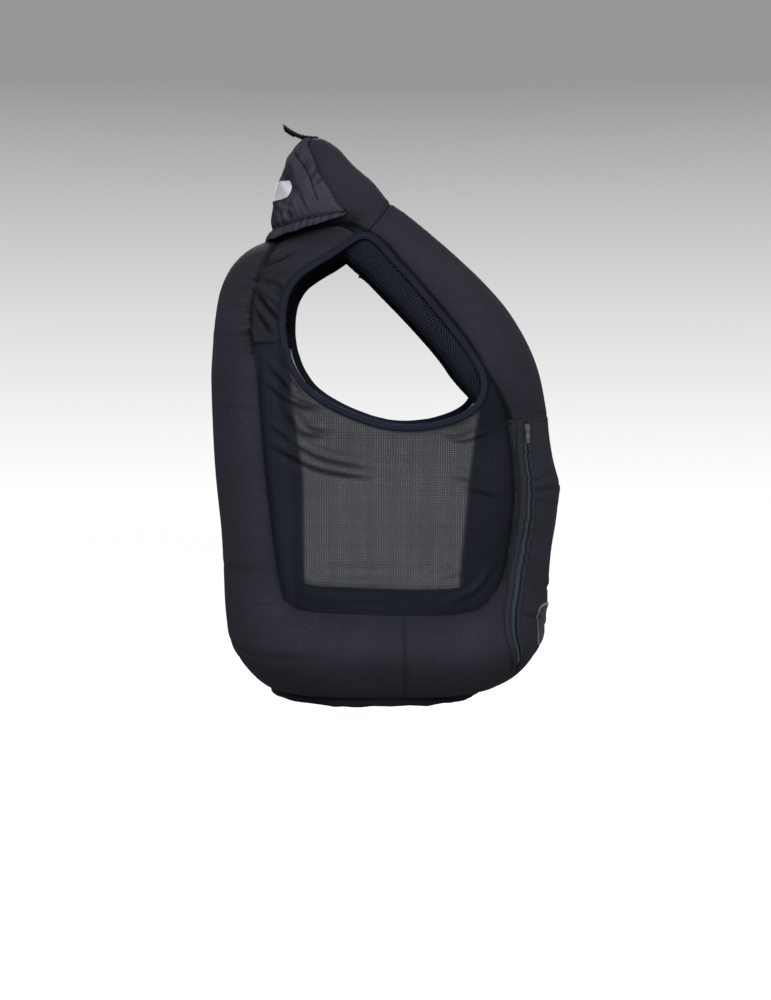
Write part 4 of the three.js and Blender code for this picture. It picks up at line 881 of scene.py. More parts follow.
def upperSections():
    edge = [onBody(frontSeamAt(lowChest["seamUp"]), lowChest["seamUp"])]
    neck = [rightPoint(lowChest["side"], lowChest["forward"], lowChest["up"])]
    edge += list(armholeEdge(chestSections["onArmhole"]) + np.array([sizes["chestInset"], 0, 0]))
    neck += list(rightPoint(chestSections["side"], chestSections["forward"], chestSections["up"]))
    edge += list(rightPoint(collarSections["baseSide"], collarSections["baseForward"], collarSections["baseUp"]))
    neck += list(rightPoint(collarSections["side"], collarSections["forward"], collarSections["up"]))
    lift = [lowChest["lift"], *chestSections["lift"], *collarSections["lift"]]
    depth = [lowChest["depth"], *chestSections["depth"], *collarSections["depth"]]
    bow = [lowChest["bow"], *chestSections["bow"], 0, 0, 0, 0, 0]
    roundness = [2.0] * 8 + [2 + 0.5 * (i + 1) / 5 for i in range(5)]
    edge, neck = np.array(edge), np.array(neck)
    edge, neck = np.concatenate([edge, mirrored(edge[-2::-1])]), np.concatenate([neck, mirrored(neck[-2::-1])])
    both = [np.array(v + v[-2::-1], float) for v in (lift, depth, bow, roundness)]
    middle = (edge + neck) / 2
    after, before = np.concatenate([middle[1:], middle[-1:]]), np.concatenate([middle[:1], middle[:-1]])
    return {"edge": edge, "neck": neck, "normal": unit(np.cross(neck - edge, after - before)),
            "lift": both[0], "depth": both[1], "bow": both[2], "round": both[3]}


sections = upperSections()
shoulderAt, middleAt, leftShoulderAt = 7, 12, 17


def upperPoint(place, across, layer="outer", extra=0.0):  # place 0 is the lowest chest section
    place, across, extra = np.broadcast_arrays(*(np.asarray(v, float) for v in (place, across, extra)))
    shape = place.shape
    p, a, e = place.ravel(), across.ravel(), extra.ravel()
    controls = []
    for up in (sizes["chestSeamUp"] - 25, sizes["chestSeamUp"]):
        turn = blend(turnAt(frontSeamAt(up), up), closureTurn(up), a)
        controls.append(padPoint(turn, up, layer, e))
    clipped = np.clip(a, 0, 1)
    for i in range(len(sections["lift"])):
        power = sections["round"][i]
        fill = (1 - np.abs(2 * clipped - 1) ** power) ** (1 / power)
        if layer == "outer":
            rise = sizes["seamHalf"] + sections["lift"][i] * fill
        else:
            rise = -sizes["seamHalf"] - sections["depth"][i] * fill
        height = rise + sections["bow"][i] * 4 * a * (1 - a) + e
        line = sections["edge"][i] + (sections["neck"][i] - sections["edge"][i]) * a[:, None]
        controls.append(line + sections["normal"][i] * height[:, None])
    return splinePoint(np.array(controls), p + 2).reshape(*shape, 3)


def upperNormal(place, across, layer="outer"):
    along = upperPoint(place + 0.03, across, layer) - upperPoint(place - 0.03, across, layer)
    over = upperPoint(place, across + 0.01, layer) - upperPoint(place, across - 0.01, layer)
    return unit(np.cross(over, along))


def rightPlace(place):  # the place on the wearer's right that mirrors one on the left
    return np.where(place > middleAt, 2 * middleAt - place, place)


upperRelief = {"chestGroove": 0.5, "shoulderGroove": 1.5, "wide": 110, "edge": 0.7, "neck": 0.15, "seam": 0.5,
               "uneven": 0.7}
upperShadeSpec = {"chest": 0.2, "shoulder": 0.75, "edge": 0.8, "foot": 0.5, "most": 0.94}


def upperDetail(place, across):  # seam grooves, puckers at the edges and soft unevenness
    spec, mirroredPlace, step = upperRelief, rightPlace(place), sizes["sectionStep"]
    run, fromChest = mirroredPlace * step, (mirroredPlace + 1) * step
    fromShoulder = np.abs(mirroredPlace - shoulderAt) * step
    fromEdge, fromNeck = across * spec["wide"], (1 - across) * spec["wide"]
    height = -spec["chestGroove"] * np.exp(-(fromChest / 2.4) ** 2)
    height -= spec["shoulderGroove"] * np.exp(-(fromShoulder / 2.6) ** 2)
    height += spec["edge"] * np.exp(-fromEdge / 7) * softNoise(run / 6, fromEdge / 30, 6)
    height += spec["neck"] * np.exp(-fromNeck / 8) * softNoise(run / 11, fromNeck / 30, 7)
    for distance, seed in ((fromChest, 8), (fromShoulder, 9)):
        pucker = np.exp(-distance / 7) * softNoise(across * 18, distance / 25, seed) * np.clip(distance / 3, 0, 1)
        height += spec["seam"] * pucker
    return height + spec["uneven"] * softNoise(run / 60, across * 2.2, 10)


underPouch = {"forward": [-126, -36], "up": [-12.5, 13.0], "from": -118, "to": -52, "soft": 7.0, "reach": 7.0,
              "dark": 0.94}


def pouchHemShadow(point):  # painted shadow in the gap below the pouch's hem, which stands off the collar
    forward, spec = -point[..., 1], underPouch
    drop = np.interp(forward, spec["forward"], spec["up"]) - point[..., 2]
    within = between(forward, spec["from"], spec["to"], spec["soft"]) * np.clip((drop + 24) / 10, 0, 1)
    return spec["dark"] * within * np.exp(-(np.maximum(drop - 1.5, 0) / spec["reach"]) ** 2)


def upperShade(place, across):  # painted shade in the seams, along the edges and at the collar's foot, and painted shadow under the pouch's hem
    spec, mirroredPlace, step = upperShadeSpec, rightPlace(place), sizes["sectionStep"]
    shade = spec["chest"] * np.exp(-((mirroredPlace + 1) * step / 1.4) ** 2)
    shade += spec["shoulder"] * np.exp(-((mirroredPlace - shoulderAt) * step / 1.5) ** 2)
    shade += spec["edge"] * np.exp(-(62 * np.sqrt(np.maximum(across * (1 - across), 0)) / 2.4) ** 2)
    onCollar = between(mirroredPlace, shoulderAt + 0.6, 30, 0.5)
    shade += onCollar * np.maximum(spec["foot"] * np.exp(-(across / 0.06) ** 2), pouchHemShadow(upperPoint(place, across)))
    return np.clip(shade, 0, spec["most"])


def upperPiece(name, start, end, columns, rows):
    ways = np.linspace(0, 1, rows + 1)
    ways = blend(start, end, 0.55 * ways + 0.45 * eased(ways))
    across, place = np.meshgrid(eased(np.linspace(0, 1, columns + 1)), ways, indexing="ij")
    inside = np.clip(48 * across * (1 - across), 0, 1)
    outer = upperPoint(place, across, "outer", upperDetail(place, across) * inside)
    uv = np.stack([across * 170, place * sizes["sectionStep"]], -1)
    return gridWall(name, outer, upperPoint(place, across, "inner"), uv, finish["shellCloth"],
                    upperShade(place, across))


placeGap = sizes["gap"] / 2 / sizes["sectionStep"]
pieces["chestRight"] = upperPiece("chestRight", -1 + placeGap, shoulderAt - placeGap, 60, 112)
addLeft("chest")
pieces["collarRoll"] = upperPiece("collarRoll", shoulderAt + placeGap, leftShoulderAt - placeGap, 60, 140)
print("upper pads made")


# Geometry node trees: a row of things along lines, and a honeycomb over a surface
def makeStitchTree():
    tree, given, result = newTree(
        "stitchRow", "GeometryNodeTree",
        [("Geometry", "Geometry"), ("Pitch", "Float"), ("Length", "Float"), ("Width", "Float"), ("Thickness", "Float"),
         ("Material", "Material")], [("Geometry", "Geometry")])
    curve = addNode(tree, "GeometryNodeMeshToCurve", {0: given["Geometry"]}).outputs[0]
    even = addNode(tree, "GeometryNodeResampleCurve", {"Curve": curve, "Length": given["Pitch"]},
                   mode="LENGTH").outputs[0]
    ball = addNode(tree, "GeometryNodeMeshUVSphere", {"Radius": 0.5, "Segments": 8, "Rings": 5}).outputs[0]
    tangent = tree.nodes.new("GeometryNodeInputTangent").outputs[0]
    face = addNode(tree, "GeometryNodeInputNamedAttribute", {"Name": "face"}, data_type="FLOAT_VECTOR").outputs[0]
    alongRow = addNode(tree, "FunctionNodeAlignRotationToVector", {"Vector": tangent}, axis="X").outputs[0]
    upright = addNode(tree, "FunctionNodeAlignRotationToVector", {"Rotation": alongRow, "Vector": face}, axis="Z",
                      pivot_axis="X").outputs[0]
    lengths = {0: given["Length"], 1: given["Width"], 2: given["Thickness"]}
    size = addNode(tree, "ShaderNodeCombineXYZ", lengths).outputs[0]
    place = addNode(tree, "GeometryNodeInstanceOnPoints",
                    {"Points": even, "Instance": ball, "Rotation": upright, "Scale": size}).outputs[0]
    real = addNode(tree, "GeometryNodeRealizeInstances", {0: place}).outputs[0]
    paint = addNode(tree, "GeometryNodeSetMaterial", {"Geometry": real, "Material": given["Material"]}).outputs[0]
    setInputs(tree, result, {0: paint})
    return tree


def makeHoneycombTree():
    tree, given, result = newTree(
        "honeycomb", "GeometryNodeTree",
        [("Geometry", "Geometry"), ("Rib", "Float"), ("Depth", "Float"), ("Material", "Material"), ("Pit", "Material")],
        [("Geometry", "Geometry")])
    relief = addNode(tree, "GeometryNodeInputNamedAttribute", {"Name": "relief"},
                     data_type="FLOAT").outputs["Attribute"]
    depth = mathNode(tree, "MULTIPLY", given["Depth"], relief)
    inset = addNode(tree, "GeometryNodeExtrudeMesh",
                    {"Mesh": given["Geometry"], "Offset Scale": 0.0, "Individual": True}, mode="FACES").outputs
    shrink = addNode(tree, "GeometryNodeScaleElements",
                     {"Geometry": inset["Mesh"], "Selection": inset["Top"], "Scale": given["Rib"]},
                     domain="FACE").outputs[0]
    sink = addNode(tree, "GeometryNodeExtrudeMesh",
                   {"Mesh": shrink, "Selection": inset["Top"], "Offset Scale": depth, "Individual": True},
                   mode="FACES").outputs
    paint = addNode(tree, "GeometryNodeSetMaterial",
                    {"Geometry": sink["Mesh"], "Material": given["Material"]}).outputs[0]
    floor = addNode(tree, "GeometryNodeSetMaterial",  # painted shade: the dark ground at the bottom of each cell stands for the shade in its hollow
                    {"Geometry": paint, "Selection": sink["Top"], "Material": given["Pit"]}).outputs[0]
    real = addNode(tree, "GeometryNodeRealizeInstances", {0: floor}).outputs[0]
    setInputs(tree, result, {0: real})
    return tree


stitchTree, honeycombTree = makeStitchTree(), makeHoneycombTree()


def grown(piece, tree, values, name):  # runs a node tree on a piece and keeps its plain mesh
    modifier = piece.modifiers.new("grow", "NODES")
    modifier.node_group = tree
    for item in tree.interface.items_tree:
        if item.item_type == "SOCKET" and item.in_out == "INPUT" and item.name in values:
            modifier[item.identifier] = values[item.name]
    bpy.context.view_layer.update()
    ready = piece.evaluated_get(bpy.context.evaluated_depsgraph_get())
    mesh = bpy.data.meshes.new_from_object(ready)
    mesh.name = name
    piece.modifiers.remove(modifier)
    bpy.data.objects.remove(piece)
    return linked(name, mesh)


# Honeycomb spacer lining: a soft roll behind the armhole's front edge, then flat inside the chest column
liningSpec = {"columns": 34, "rows": 114, "from": -0.72, "to": 8.5, "lift": 2.6, "rib": 0.72, "depth": -0.0008,
              "rollAt": [-0.8, 0, 1, 3, 5, 7, 8, 8.6], "roll": [11, 21, 28, 31.5, 35, 38, 28, 13]}
liningRollAt = column(liningSpec["rollAt"], liningSpec["roll"])


def liningSection(place):  # evenly spaced line from the armhole's edge round to the neck edge
    spec = liningSpec
    onArmhole = np.interp(place, np.arange(1, 8), chestSections["onArmhole"])
    inwards = -armholeFrame(onArmhole)[1]
    edge = upperPoint(place, 0.0, "inner")
    roll = liningRollAt(place)
    edge = edge + np.array([np.interp(place, [6.8, 8.2], [0, 6]), 0, 0])
    line = [edge + inwards * roll * reach + np.array([deep, 0, 0])
            for reach, deep in ((0.0, 1.5), (0.48, 2.6), (0.86, 7.0), (1.0, 16.0), (1.02, 29.0))]
    line += [upperPoint(place, across, "inner", -spec["lift"]) for across in (0.62, 0.76, 0.9)]
    fine = splinePoint(np.array(line), np.linspace(0, len(line) - 1, 160))
    return fine, lengthAlong(fine)


def chestLining():
    spec = liningSpec
    points, relief = [], []
    for j in range(spec["rows"] + 1):
        place = blend(spec["from"], spec["to"], j / spec["rows"])
        fine, length = liningSection(place)
        share = np.clip((np.arange(spec["columns"] + 1) + 0.5 * (j % 2)) / (spec["columns"] + 0.5), 0, 1)
        points.append(np.stack([np.interp(share * length[-1], length, fine[:, k]) for k in range(3)], -1))
        roll = liningRollAt(place)
        relief.append(1 - np.exp(-((share * length[-1] - 1.25 * roll) / (0.3 * roll)) ** 2))
    points = np.concatenate(points)
    wide = spec["columns"] + 1
    faces = []
    for j in range(spec["rows"] - 1):  # each diamond reaches over two rows
        for i in range(1, spec["columns"] + 1):
            a, c = j * wide + i, (j + 2) * wide + i
            b = (j + 1) * wide + i - (1 - j % 2)
            if j % 2 == 0 or i < spec["columns"]:
                faces.append((a, b + 1, c, b))
    mesh = bpy.data.meshes.new("liningBase")
    mesh.from_pydata((points * mm).tolist(), [], faces)
    setValues(mesh, "relief", np.concatenate(relief))
    inward = -upperNormal(np.array([3.0]), np.array([0.5]), "outer")[0]
    middle = mesh.polygons[len(faces) // 2].normal
    if np.dot(np.array(middle), inward) < 0:
        mesh.flip_normals()
    base = linked("liningBase", mesh)
    values = {"Rib": spec["rib"], "Depth": spec["depth"], "Material": finish["liningKnit"], "Pit": finish["liningPitShade"]}
    return grown(base, honeycombTree, values, "chestLiningRight")


pieces["chestLiningRight"] = chestLining()
addLeft("chestLining")
print("lining made", len(pieces["chestLiningRight"].data.polygons))


def sideLine(path, count):  # smooth line through forward and up places
    points = rightPoint(0, *np.array(path, float).T)
    return splinePoint(points, np.linspace(0, len(points) - 1, count))


def strokeRelief(points, strokes):  # folds along short lines given as forward and up places
    flat = points * np.array([0, 1, 1])
    height = np.zeros(points.shape[:-1])
    for path, rise, width, *ends in strokes.values():
        path = sideLine(path, 8 * len(path))
        distance, along = nearestOnLine(path, flat)
        share = along / lengthAlong(path)[-1]
        away = distance / width
        reach = np.clip(4 * share * (1 - share) + (ends or [0.15])[0], 0, 1)
        height += rise * reach * (np.exp(-away ** 2) - 0.4 * np.exp(-(away - 2) ** 2))
    return height


# See-through side mesh, drawn in drag folds from the back seam
sideMeshSpec = {"columns": 120, "rows": 120, "wall": 0.5, "tuck": 1.3, "top": 10.25, "openUp": [-440, -300, -204],
                "openFrom": [-87, -89, -104], "openTo": [112, 125, 138], "fade": 8.0, "uneven": 1.6, "gather": 0.5,
                "shadeBehindDense": 0.95, "foldDense": 0.55, "hemShade": 0.75, "foldShade": 0.4, "frontShade": 0.24,
                "most": 0.9, "clothShift": (0.137, 0.411)}
sideMeshFolds = {  # path, height, width and reach of the ends
    "belowYoke": ([(-131, -148), (-101, -181), (-90, -202)], 3.6, 3.6),
    "longUpper": ([(-132, -176), (-113, -190), (-94, -204), (-73, -211), (-57, -216)], 4.2, 3.6),
    "middle": ([(-104, -204), (-92, -223), (-78, -240), (-54, -243)], 4.2, 4.6),
    "shortLow": ([(-125, -228), (-106, -240), (-97, -249)], 3.0, 3.2),
    "longLower": ([(-129, -248), (-99, -264), (-66, -281), (-31, -289), (-1, -293)], 4.4, 3.8),
    "frontHigh": ([(87, -244), (108, -250), (140, -240)], 2.6, 3.4),
    "frontLow": ([(105, -304), (128, -309), (152, -316)], 2.4, 3.6),
    "bottomBack": ([(-101, -424), (-48, -438), (22, -438)], 1.2, 4.0),
    "bottomFront": ([(84, -444), (124, -426), (146, -393)], 2.0, 4.0),
}


def sideMeshMiddle():
    spec = sideMeshSpec
    tuck = spec["tuck"]
    s, t = evenGrid((0, 1, spec["columns"]), (0, 1, spec["rows"]))

    def low(share):
        forward = blend(bottomSeam["forward"][0], bottomSeam["forward"][-1], share)
        return onBody(forward + blend(-tuck, tuck, share), bottomSeamAt(forward) - tuck)

    def left(share):
        up = blend(sizes["backCornerUp"] - tuck, sizes["yokeLowUp"] + 1.5, share)
        return onBody(backSeamAt(up) - tuck, up)

    def rightEdge(share):
        up = blend(sizes["cornerUp"] - tuck, frontSeam["up"][-1], share)
        return onBody(frontSeamAt(up) + tuck, up)

    def high(share):
        join = 2 / 13
        first = left(np.ones(share.shape))
        corner = armholeEdge(np.full(share.shape, spec["top"]), -tuck)
        before = first + (corner - first) * np.clip(share / join, 0, 1)[..., None]
        edge = armholeEdge(blend(spec["top"], 3.95, np.clip((share - join) / (1 - join), 0, 1)), -tuck)
        last = rightEdge(np.ones(share.shape))
        edge = edge + (last - edge) * (np.maximum(12 * share - 11, 0) ** 2)[..., None]
        return np.where((share < join)[..., None], before, edge)

    sideways, upwards = s[..., None], t[..., None]
    across = left(t) * (1 - sideways) + rightEdge(t) * sideways
    along = low(s) * (1 - upwards) + high(s) * upwards
    corners = (low(np.zeros(s.shape)) * (1 - sideways) + low(np.ones(s.shape)) * sideways) * (1 - upwards) \
        + (high(np.zeros(s.shape)) * (1 - sideways) + high(np.ones(s.shape)) * sideways) * upwards
    patch = across + along - corners
    held = onBody(-patch[..., 1], patch[..., 2])
    patch = blend(patch, held, 1 - upwards ** 4)
    free = np.clip(9 * s * (1 - s), 0, 1) * np.clip(9 * t * (1 - t), 0, 1)
    relief = strokeRelief(patch, sideMeshFolds) + spec["uneven"] * softNoise(patch[..., 1] / 46, patch[..., 2] / 60, 31)
    edgeGather = np.exp(-np.minimum(np.minimum(s, 1 - s) * 240, t * 260) / 9)
    gather = spec["gather"] * edgeGather * softNoise((s * 250 + t * 300) / 7, edgeGather * 2, 32)
    relief = relief * free + gather * np.clip(free * 6, 0, 1)
    outward = facingRight(gridNormals(patch))
    forward = -patch[..., 1]
    drop = np.gradient(relief, axis=1) / np.maximum(np.gradient(patch[..., 2], axis=1), 0.6)
    openFrom, openTo = (np.interp(patch[..., 2], spec["openUp"], spec[key]) for key in ("openFrom", "openTo"))
    # painted shade: outside the open window and on the lower sides of the folds the net is made nearly opaque, so its
    # own dark colour stands for the shade behind and in it
    fullCover = np.clip(np.maximum(openFrom - forward, forward - openTo) / spec["fade"], 0, 1)
    hemmed = np.exp(-np.minimum(np.minimum(s, 1 - s) * 250, np.minimum(t, 1 - t) * 260) / 2.6)
    dense = np.clip(spec["shadeBehindDense"] * eased(fullCover) + hemmed + spec["foldDense"] * np.clip(drop * 1.4, 0, 1), 0, 1)
    # painted shade at the hems, on the lower sides of the folds and over the front strip
    shade = spec["hemShade"] * hemmed + spec["foldShade"] * np.clip(drop * 1.3, 0, 1)
    shade += spec["frontShade"] * np.clip((forward - openTo) / spec["fade"], 0, 1)
    return patch + outward * relief[..., None], dense, np.clip(shade, 0, spec["most"])


def sideMesh():
    middle, dense, shade = sideMeshMiddle()
    uv = np.stack([-middle[..., 1], middle[..., 2]], -1)
    piece = sheetWall("sideMeshRight", middle, sideMeshSpec["wall"], uv, finish["sideMesh"], shade)
    setValues(piece.data, "dense", np.concatenate([dense.ravel(), dense.ravel()]))
    return piece


pieces["sideMeshRight"] = sideMesh()
addLeft("sideMesh", sideMeshSpec["clothShift"])

# Shoulder yoke with the drag lines that pull from the back pad's corner
yokeSpec = {"columns": 84, "rows": 110, "wall": 1.4, "split": 0.62, "low": 10.15, "high": 13.6, "uneven": 0.9,
            "pull": 1.7, "padShade": 0.9, "armShade": 0.6, "lowShade": 0.85, "meshShade": 0.2, "foldShade": 0.75,
            "pullShade": 0.3}
yokeFolds = {  # path, height, width and reach of the ends
    "corner": ([(-138, -76), (-125, -93), (-110, -110)], -3.6, 2.6, 0.5),
    "cornerUpper": ([(-136, -68), (-119, -81), (-106, -90)], 2.4, 3.4),
    "cornerLower": ([(-139, -86), (-127, -103), (-113, -120)], 2.6, 3.2),
    "collarSide": ([(-121, -38), (-101, -27), (-83, -19)], 2.4, 4.0),
    "collarDip": ([(-128, -45), (-110, -37), (-92, -27)], -2.2, 2.8),
    "middle": ([(-126, -55), (-108, -47), (-86, -36)], 2.2, 4.0),
    "low": ([(-139, -98), (-127, -114), (-116, -130)], -2.4, 2.6),
    "armSide": ([(-131, -62), (-114, -67), (-102, -76)], -2.2, 2.8),
}


def yokeMiddle():
    spec = yokeSpec
    s, t = evenGrid((0, 1, spec["columns"]), (0, 1, spec["rows"]))
    lowShare = (sizes["yokeLowUp"] - sizes["backCornerUp"]) / (sizes["backShoulderUp"] - sizes["backCornerUp"])

    def padSide(share):
        onTop = np.clip((share - spec["split"]) / (1 - spec["split"]), 0, 1)
        onSeam = backSeamPoint(blend(lowShare + 0.004, 1, np.clip(share / spec["split"], 0, 1)))
        point = np.where((share < spec["split"])[..., None], onSeam, backTopPoint(blend(0, 0.5, onTop)))
        return point + rightPoint(0, -0.8 * (1 - onTop), -0.6 * np.minimum(3 * onTop, 1))

    def armSide(share):
        return armholeEdge(blend(spec["low"], spec["high"], share), -1.0)

    top = np.ones(s.shape)
    foot = upperPoint(blend(middleAt, shoulderAt + 0.35, s), 0 * s, "inner", -1) + np.array([0, 0, -1.5])
    foot = foot + (padSide(top) - foot) * np.maximum(1 - 40 * s, 0)[..., None]
    foot = foot + (armSide(top) - foot) * np.maximum(5 * s - 4, 0)[..., None]
    start = padSide(top) + (armSide(top) - padSide(top)) * s[..., None]
    patch = padSide(t) + (armSide(t) - padSide(t)) * s[..., None] + (foot - start) * (t ** 3)[..., None]
    free = np.clip(8 * s * (1 - s), 0, 1) * np.clip(6 * (1 - t), 0, 1) * np.clip(8 * t + 0.1, 0, 1)
    relief = strokeRelief(patch, yokeFolds) + spec["uneven"] * softNoise(s * 3.2, t * 3.6, 41)
    pull = np.exp(-s * 8) * softNoise(t * 26, s * 2, 42) * spec["pull"]  # short puckers at the pad seam
    outward = facingRight(gridNormals(patch))
    wide = np.linalg.norm(armSide(t) - padSide(t), axis=-1)
    # painted shade in the seams at the pad, the armhole and the foot, in the folds and puckers, and painted shadow
    # under the pouch's hem
    shade = spec["padShade"] * np.exp(-(s * wide / 1.8) ** 2) + spec["armShade"] * np.exp(-((1 - s) * wide / 3.2) ** 2)
    shade += spec["lowShade"] * np.exp(-(t * 145 / 1.6) ** 2) + pouchHemShadow(patch)
    shade += spec["meshShade"] * np.clip(1.3 - 1.6 * t, 0, 1)  # painted shade, darker towards the mesh
    shade += (spec["foldShade"] * np.clip(-relief / 3, 0, 1) + spec["pullShade"] * np.clip(-pull / 1.5, 0, 1)) * free
    return patch + outward * ((relief + pull) * free)[..., None], outward, np.clip(shade, 0, shadeSpec["most"])


def yoke():
    middle, _, shade = yokeMiddle()
    uv = np.stack([-middle[..., 1], middle[..., 2]], -1)
    return sheetWall("yokeRight", middle, yokeSpec["wall"], uv, finish["shellCloth"], shade)


pieces["yokeRight"] = yoke()
addLeft("yoke")
print("side meshes and yokes made")

# Bound edges: folded tape round the armholes and the hem
bindingSpec = {"rings": 420, "sides": 18, "join": 7.15, "lap": 0.5, "stitchAside": 2.7, "drift": 0.45, "swellOut": 0.1,
               "lapOut": 0.42, "swellWide": 0.05, "lapWide": 0.06}


def bandSection(sides, halfWide, halfThick, power=3.2):
    a = np.linspace(0, 2 * np.pi, sides, endpoint=False)
    c, s = np.cos(a), np.sin(a)
    return np.sign(c) * np.abs(c) ** (2 / power) * halfWide, np.sign(s) * np.abs(s) ** (2 / power) * halfThick


def tapeDrift(place):  # the tape wanders a little along the edge
    return bindingSpec["drift"] * softNoise(place * 2.6, 0.1, 53)


def armholeBinding():
    spec = bindingSpec
    place = np.linspace(0, armholeCount, spec["rings"], endpoint=False)
    centre, away, face, along = armholeFrame(place)
    wide, thick = bandSection(spec["sides"], sizes["bindingWidth"] / 2, sizes["bindingHalf"])
    past = (place - spec["join"]) % armholeCount
    # the tape's end laps over its start
    lap = np.where(past < spec["lap"], 1 - past / spec["lap"], 0) * np.clip(past / 0.03, 0, 1)
    swellOut = 1 + spec["swellOut"] * softNoise(place * 5, 0.3, 51) + spec["lapOut"] * lap
    swellWide = 1 + spec["swellWide"] * softNoise(place * 4, 0.7, 52) + spec["lapWide"] * lap
    drift = tapeDrift(place)
    rings = centre[:, None] + away[:, None] * (wide[None] * swellWide[:, None] + drift[:, None])[..., None] \
        + face[:, None] * (thick[None] * swellOut[:, None])[..., None]
    length = lengthAlong(centre)
    round_ = np.linspace(0, 2 * (sizes["bindingWidth"] + 4), spec["sides"], endpoint=False)
    u, v = np.meshgrid(length, round_, indexing="ij")
    return sweptBand("armholeBindingRight", rings, np.stack([u, v], -1), finish["bindingTape"])


pieces["armholeBindingRight"] = armholeBinding()
addLeft("armholeBinding")

hemSpec = {"rings": 560, "sides": 16, "half": 5.4, "wall": 1.7, "drop": 4.7, "shade": 0.5, "wave": 1.3, "ripple": 0.6,
           "lean": 0.7, "stitchUp": 2.6, "tall": 11}


def hemWave(turn):
    return hemSpec["wave"] * softNoise(turn * 5.5, 0.4, 55) + hemSpec["ripple"] * softNoise(turn * 14, 0.9, 56)


def hemLean(turn):  # the edge rolls in and out a little
    return hemSpec["lean"] * softNoise(turn * 9, 0.2, 57)


def hemBinding():
    spec = hemSpec
    turn = np.linspace(0, 2 * np.pi, spec["rings"], endpoint=False) + np.pi
    centre = bodyPoint(turn, np.full(turn.shape, sizes["hemUp"] - spec["drop"]))
    out = bodyNormal(turn, np.full(turn.shape, sizes["hemUp"] - 4)) * np.array([1, 1, 0])
    tall, thick = bandSection(spec["sides"], spec["half"], spec["wall"])
    lowShare = 0.5 - tall[None] / spec["tall"]  # the free edge below moves more
    height = tall[None] + hemWave(turn)[:, None] * lowShare
    rings = centre[:, None] + np.array([0, 0, 1.0]) * height[..., None] \
        + unit(out)[:, None] * (thick[None] + hemLean(turn)[:, None] * lowShare + 0.4)[..., None]
    length = lengthAlong(centre)
    u, v = np.meshgrid(length, np.linspace(0, 22, spec["sides"], endpoint=False), indexing="ij")
    piece = sweptBand("hemBinding", rings, np.stack([u, v], -1), finish["bindingTape"])
    setValues(piece.data, "shade", np.full(len(piece.data.vertices), spec["shade"]))  # it lies in the pads' shade
    return piece


pieces["hemBinding"] = hemBinding()
print("bindings made")

# Pouch over the back of the collar and its gathered hem band
pouchSpec = {"columns": 170, "rows": 78, "low": 0.06, "high": 0.95, "gap": 2.4, "slack": 2.5, "wall": 1.4,
             "bandLength": 16.0, "bandFlare": 8.0, "gathers": 34, "bandColumns": 340, "bandRows": 26,
             "stitchDown": 0.14, "gather": 1.6, "broad": 0.9, "roll": 2.2, "lip": 1.1, "ruffle": 1.9, "pinch": 1.6}
pouchShadeSpec = {"seam": 0.6, "side": 0.75, "foot": 0.6, "fold": 0.6, "stitch": 0.7, "lip": 0.45, "gather": 0.45,
             "most": 0.9}
pouchFolds = {  # path, height, width and reach of the ends
    "sideSeam": ([(-94, 96), (-86, 84), (-77, 69), (-72, 58), (-67, 42), (-63, 32)], -0.9, 1.2, 1),
    "puff": ([(-101, 92), (-93, 80), (-84, 66), (-79, 55), (-74, 42)], 2.0, 5.0, 0.5),
    "strip1": ([(-82, 90), (-90, 80)], 1.2, 2.4),
    "strip2": ([(-66, 79), (-75, 65)], 1.6, 2.4),
    "strip3": ([(-59, 67), (-69, 53)], 1.6, 2.4),
    "strip4": ([(-53, 54), (-66, 46)], 1.4, 2.2),
    "strip5": ([(-42, 39), (-60, 33)], 1.2, 2.0),
    "stripDip1": ([(-74, 84), (-83, 72)], -1.1, 2.0),
    "stripDip2": ([(-62, 73), (-72, 59)], -1.2, 2.0),
    "stripDip3": ([(-56, 60), (-68, 49)], -1.1, 2.0),
    "gather1": ([(-103, 9), (-104, 28)], 2.0, 2.3),
    "gather2": ([(-96, 11), (-100, 34)], -2.2, 2.0),
    "gather3": ([(-86, 16), (-93, 38)], 2.0, 2.3),
    "gather4": ([(-76, 20), (-85, 40)], -2.0, 2.0),
    "gather5": ([(-111, 7), (-113, 24)], 1.8, 2.3),
    "sag": ([(-116, 38), (-106, 27), (-90, 23)], 1.8, 3.6),
    "dimple": ([(-105, 27), (-97, 16)], -3.6, 2.6, 0.4),
    "drag1": ([(-96, 84), (-90, 64), (-79, 40)], 1.2, 3.0),
    "drag2": ([(-109, 36), (-102, 29), (-92, 24)], -1.6, 2.6),
    "long": ([(-109, 75), (-99, 55), (-87, 41)], -1.8, 3.8),
}
pouchEdge = {  # how far the pouch's side seams stand from the shoulder seams
    "low": [0.06, 0.134, 0.208, 0.357, 0.505, 0.653, 0.728, 0.802, 0.876, 0.95],
    "reach": [1.2, 1.45, 1.57, 1.8, 2.09, 2.41, 2.64, 2.97, 3.4, 3.65]}
pouchEdgeAt = column(pouchEdge["low"], pouchEdge["reach"])


def pouchPlace(across, low):
    reach = pouchEdgeAt(low)
    return blend(shoulderAt + reach, leftShoulderAt - reach, across)


def pouchShare(low):  # 0 at the pouch's foot and 1 at its top
    return (low - pouchSpec["low"]) / (pouchSpec["high"] - pouchSpec["low"])


def pouchPoint(across, low, extra=0.0):
    spec = pouchSpec
    place = pouchPlace(across, low)
    loose = np.sin(np.pi * np.clip(pouchShare(low), 0, 1))
    slack = spec["slack"] * loose * np.sin(np.pi * across) ** 0.5
    lift = np.asarray(spec["gap"] + slack + extra)
    return upperPoint(place, low, "outer") + upperNormal(place, low, "outer") * lift[..., None]


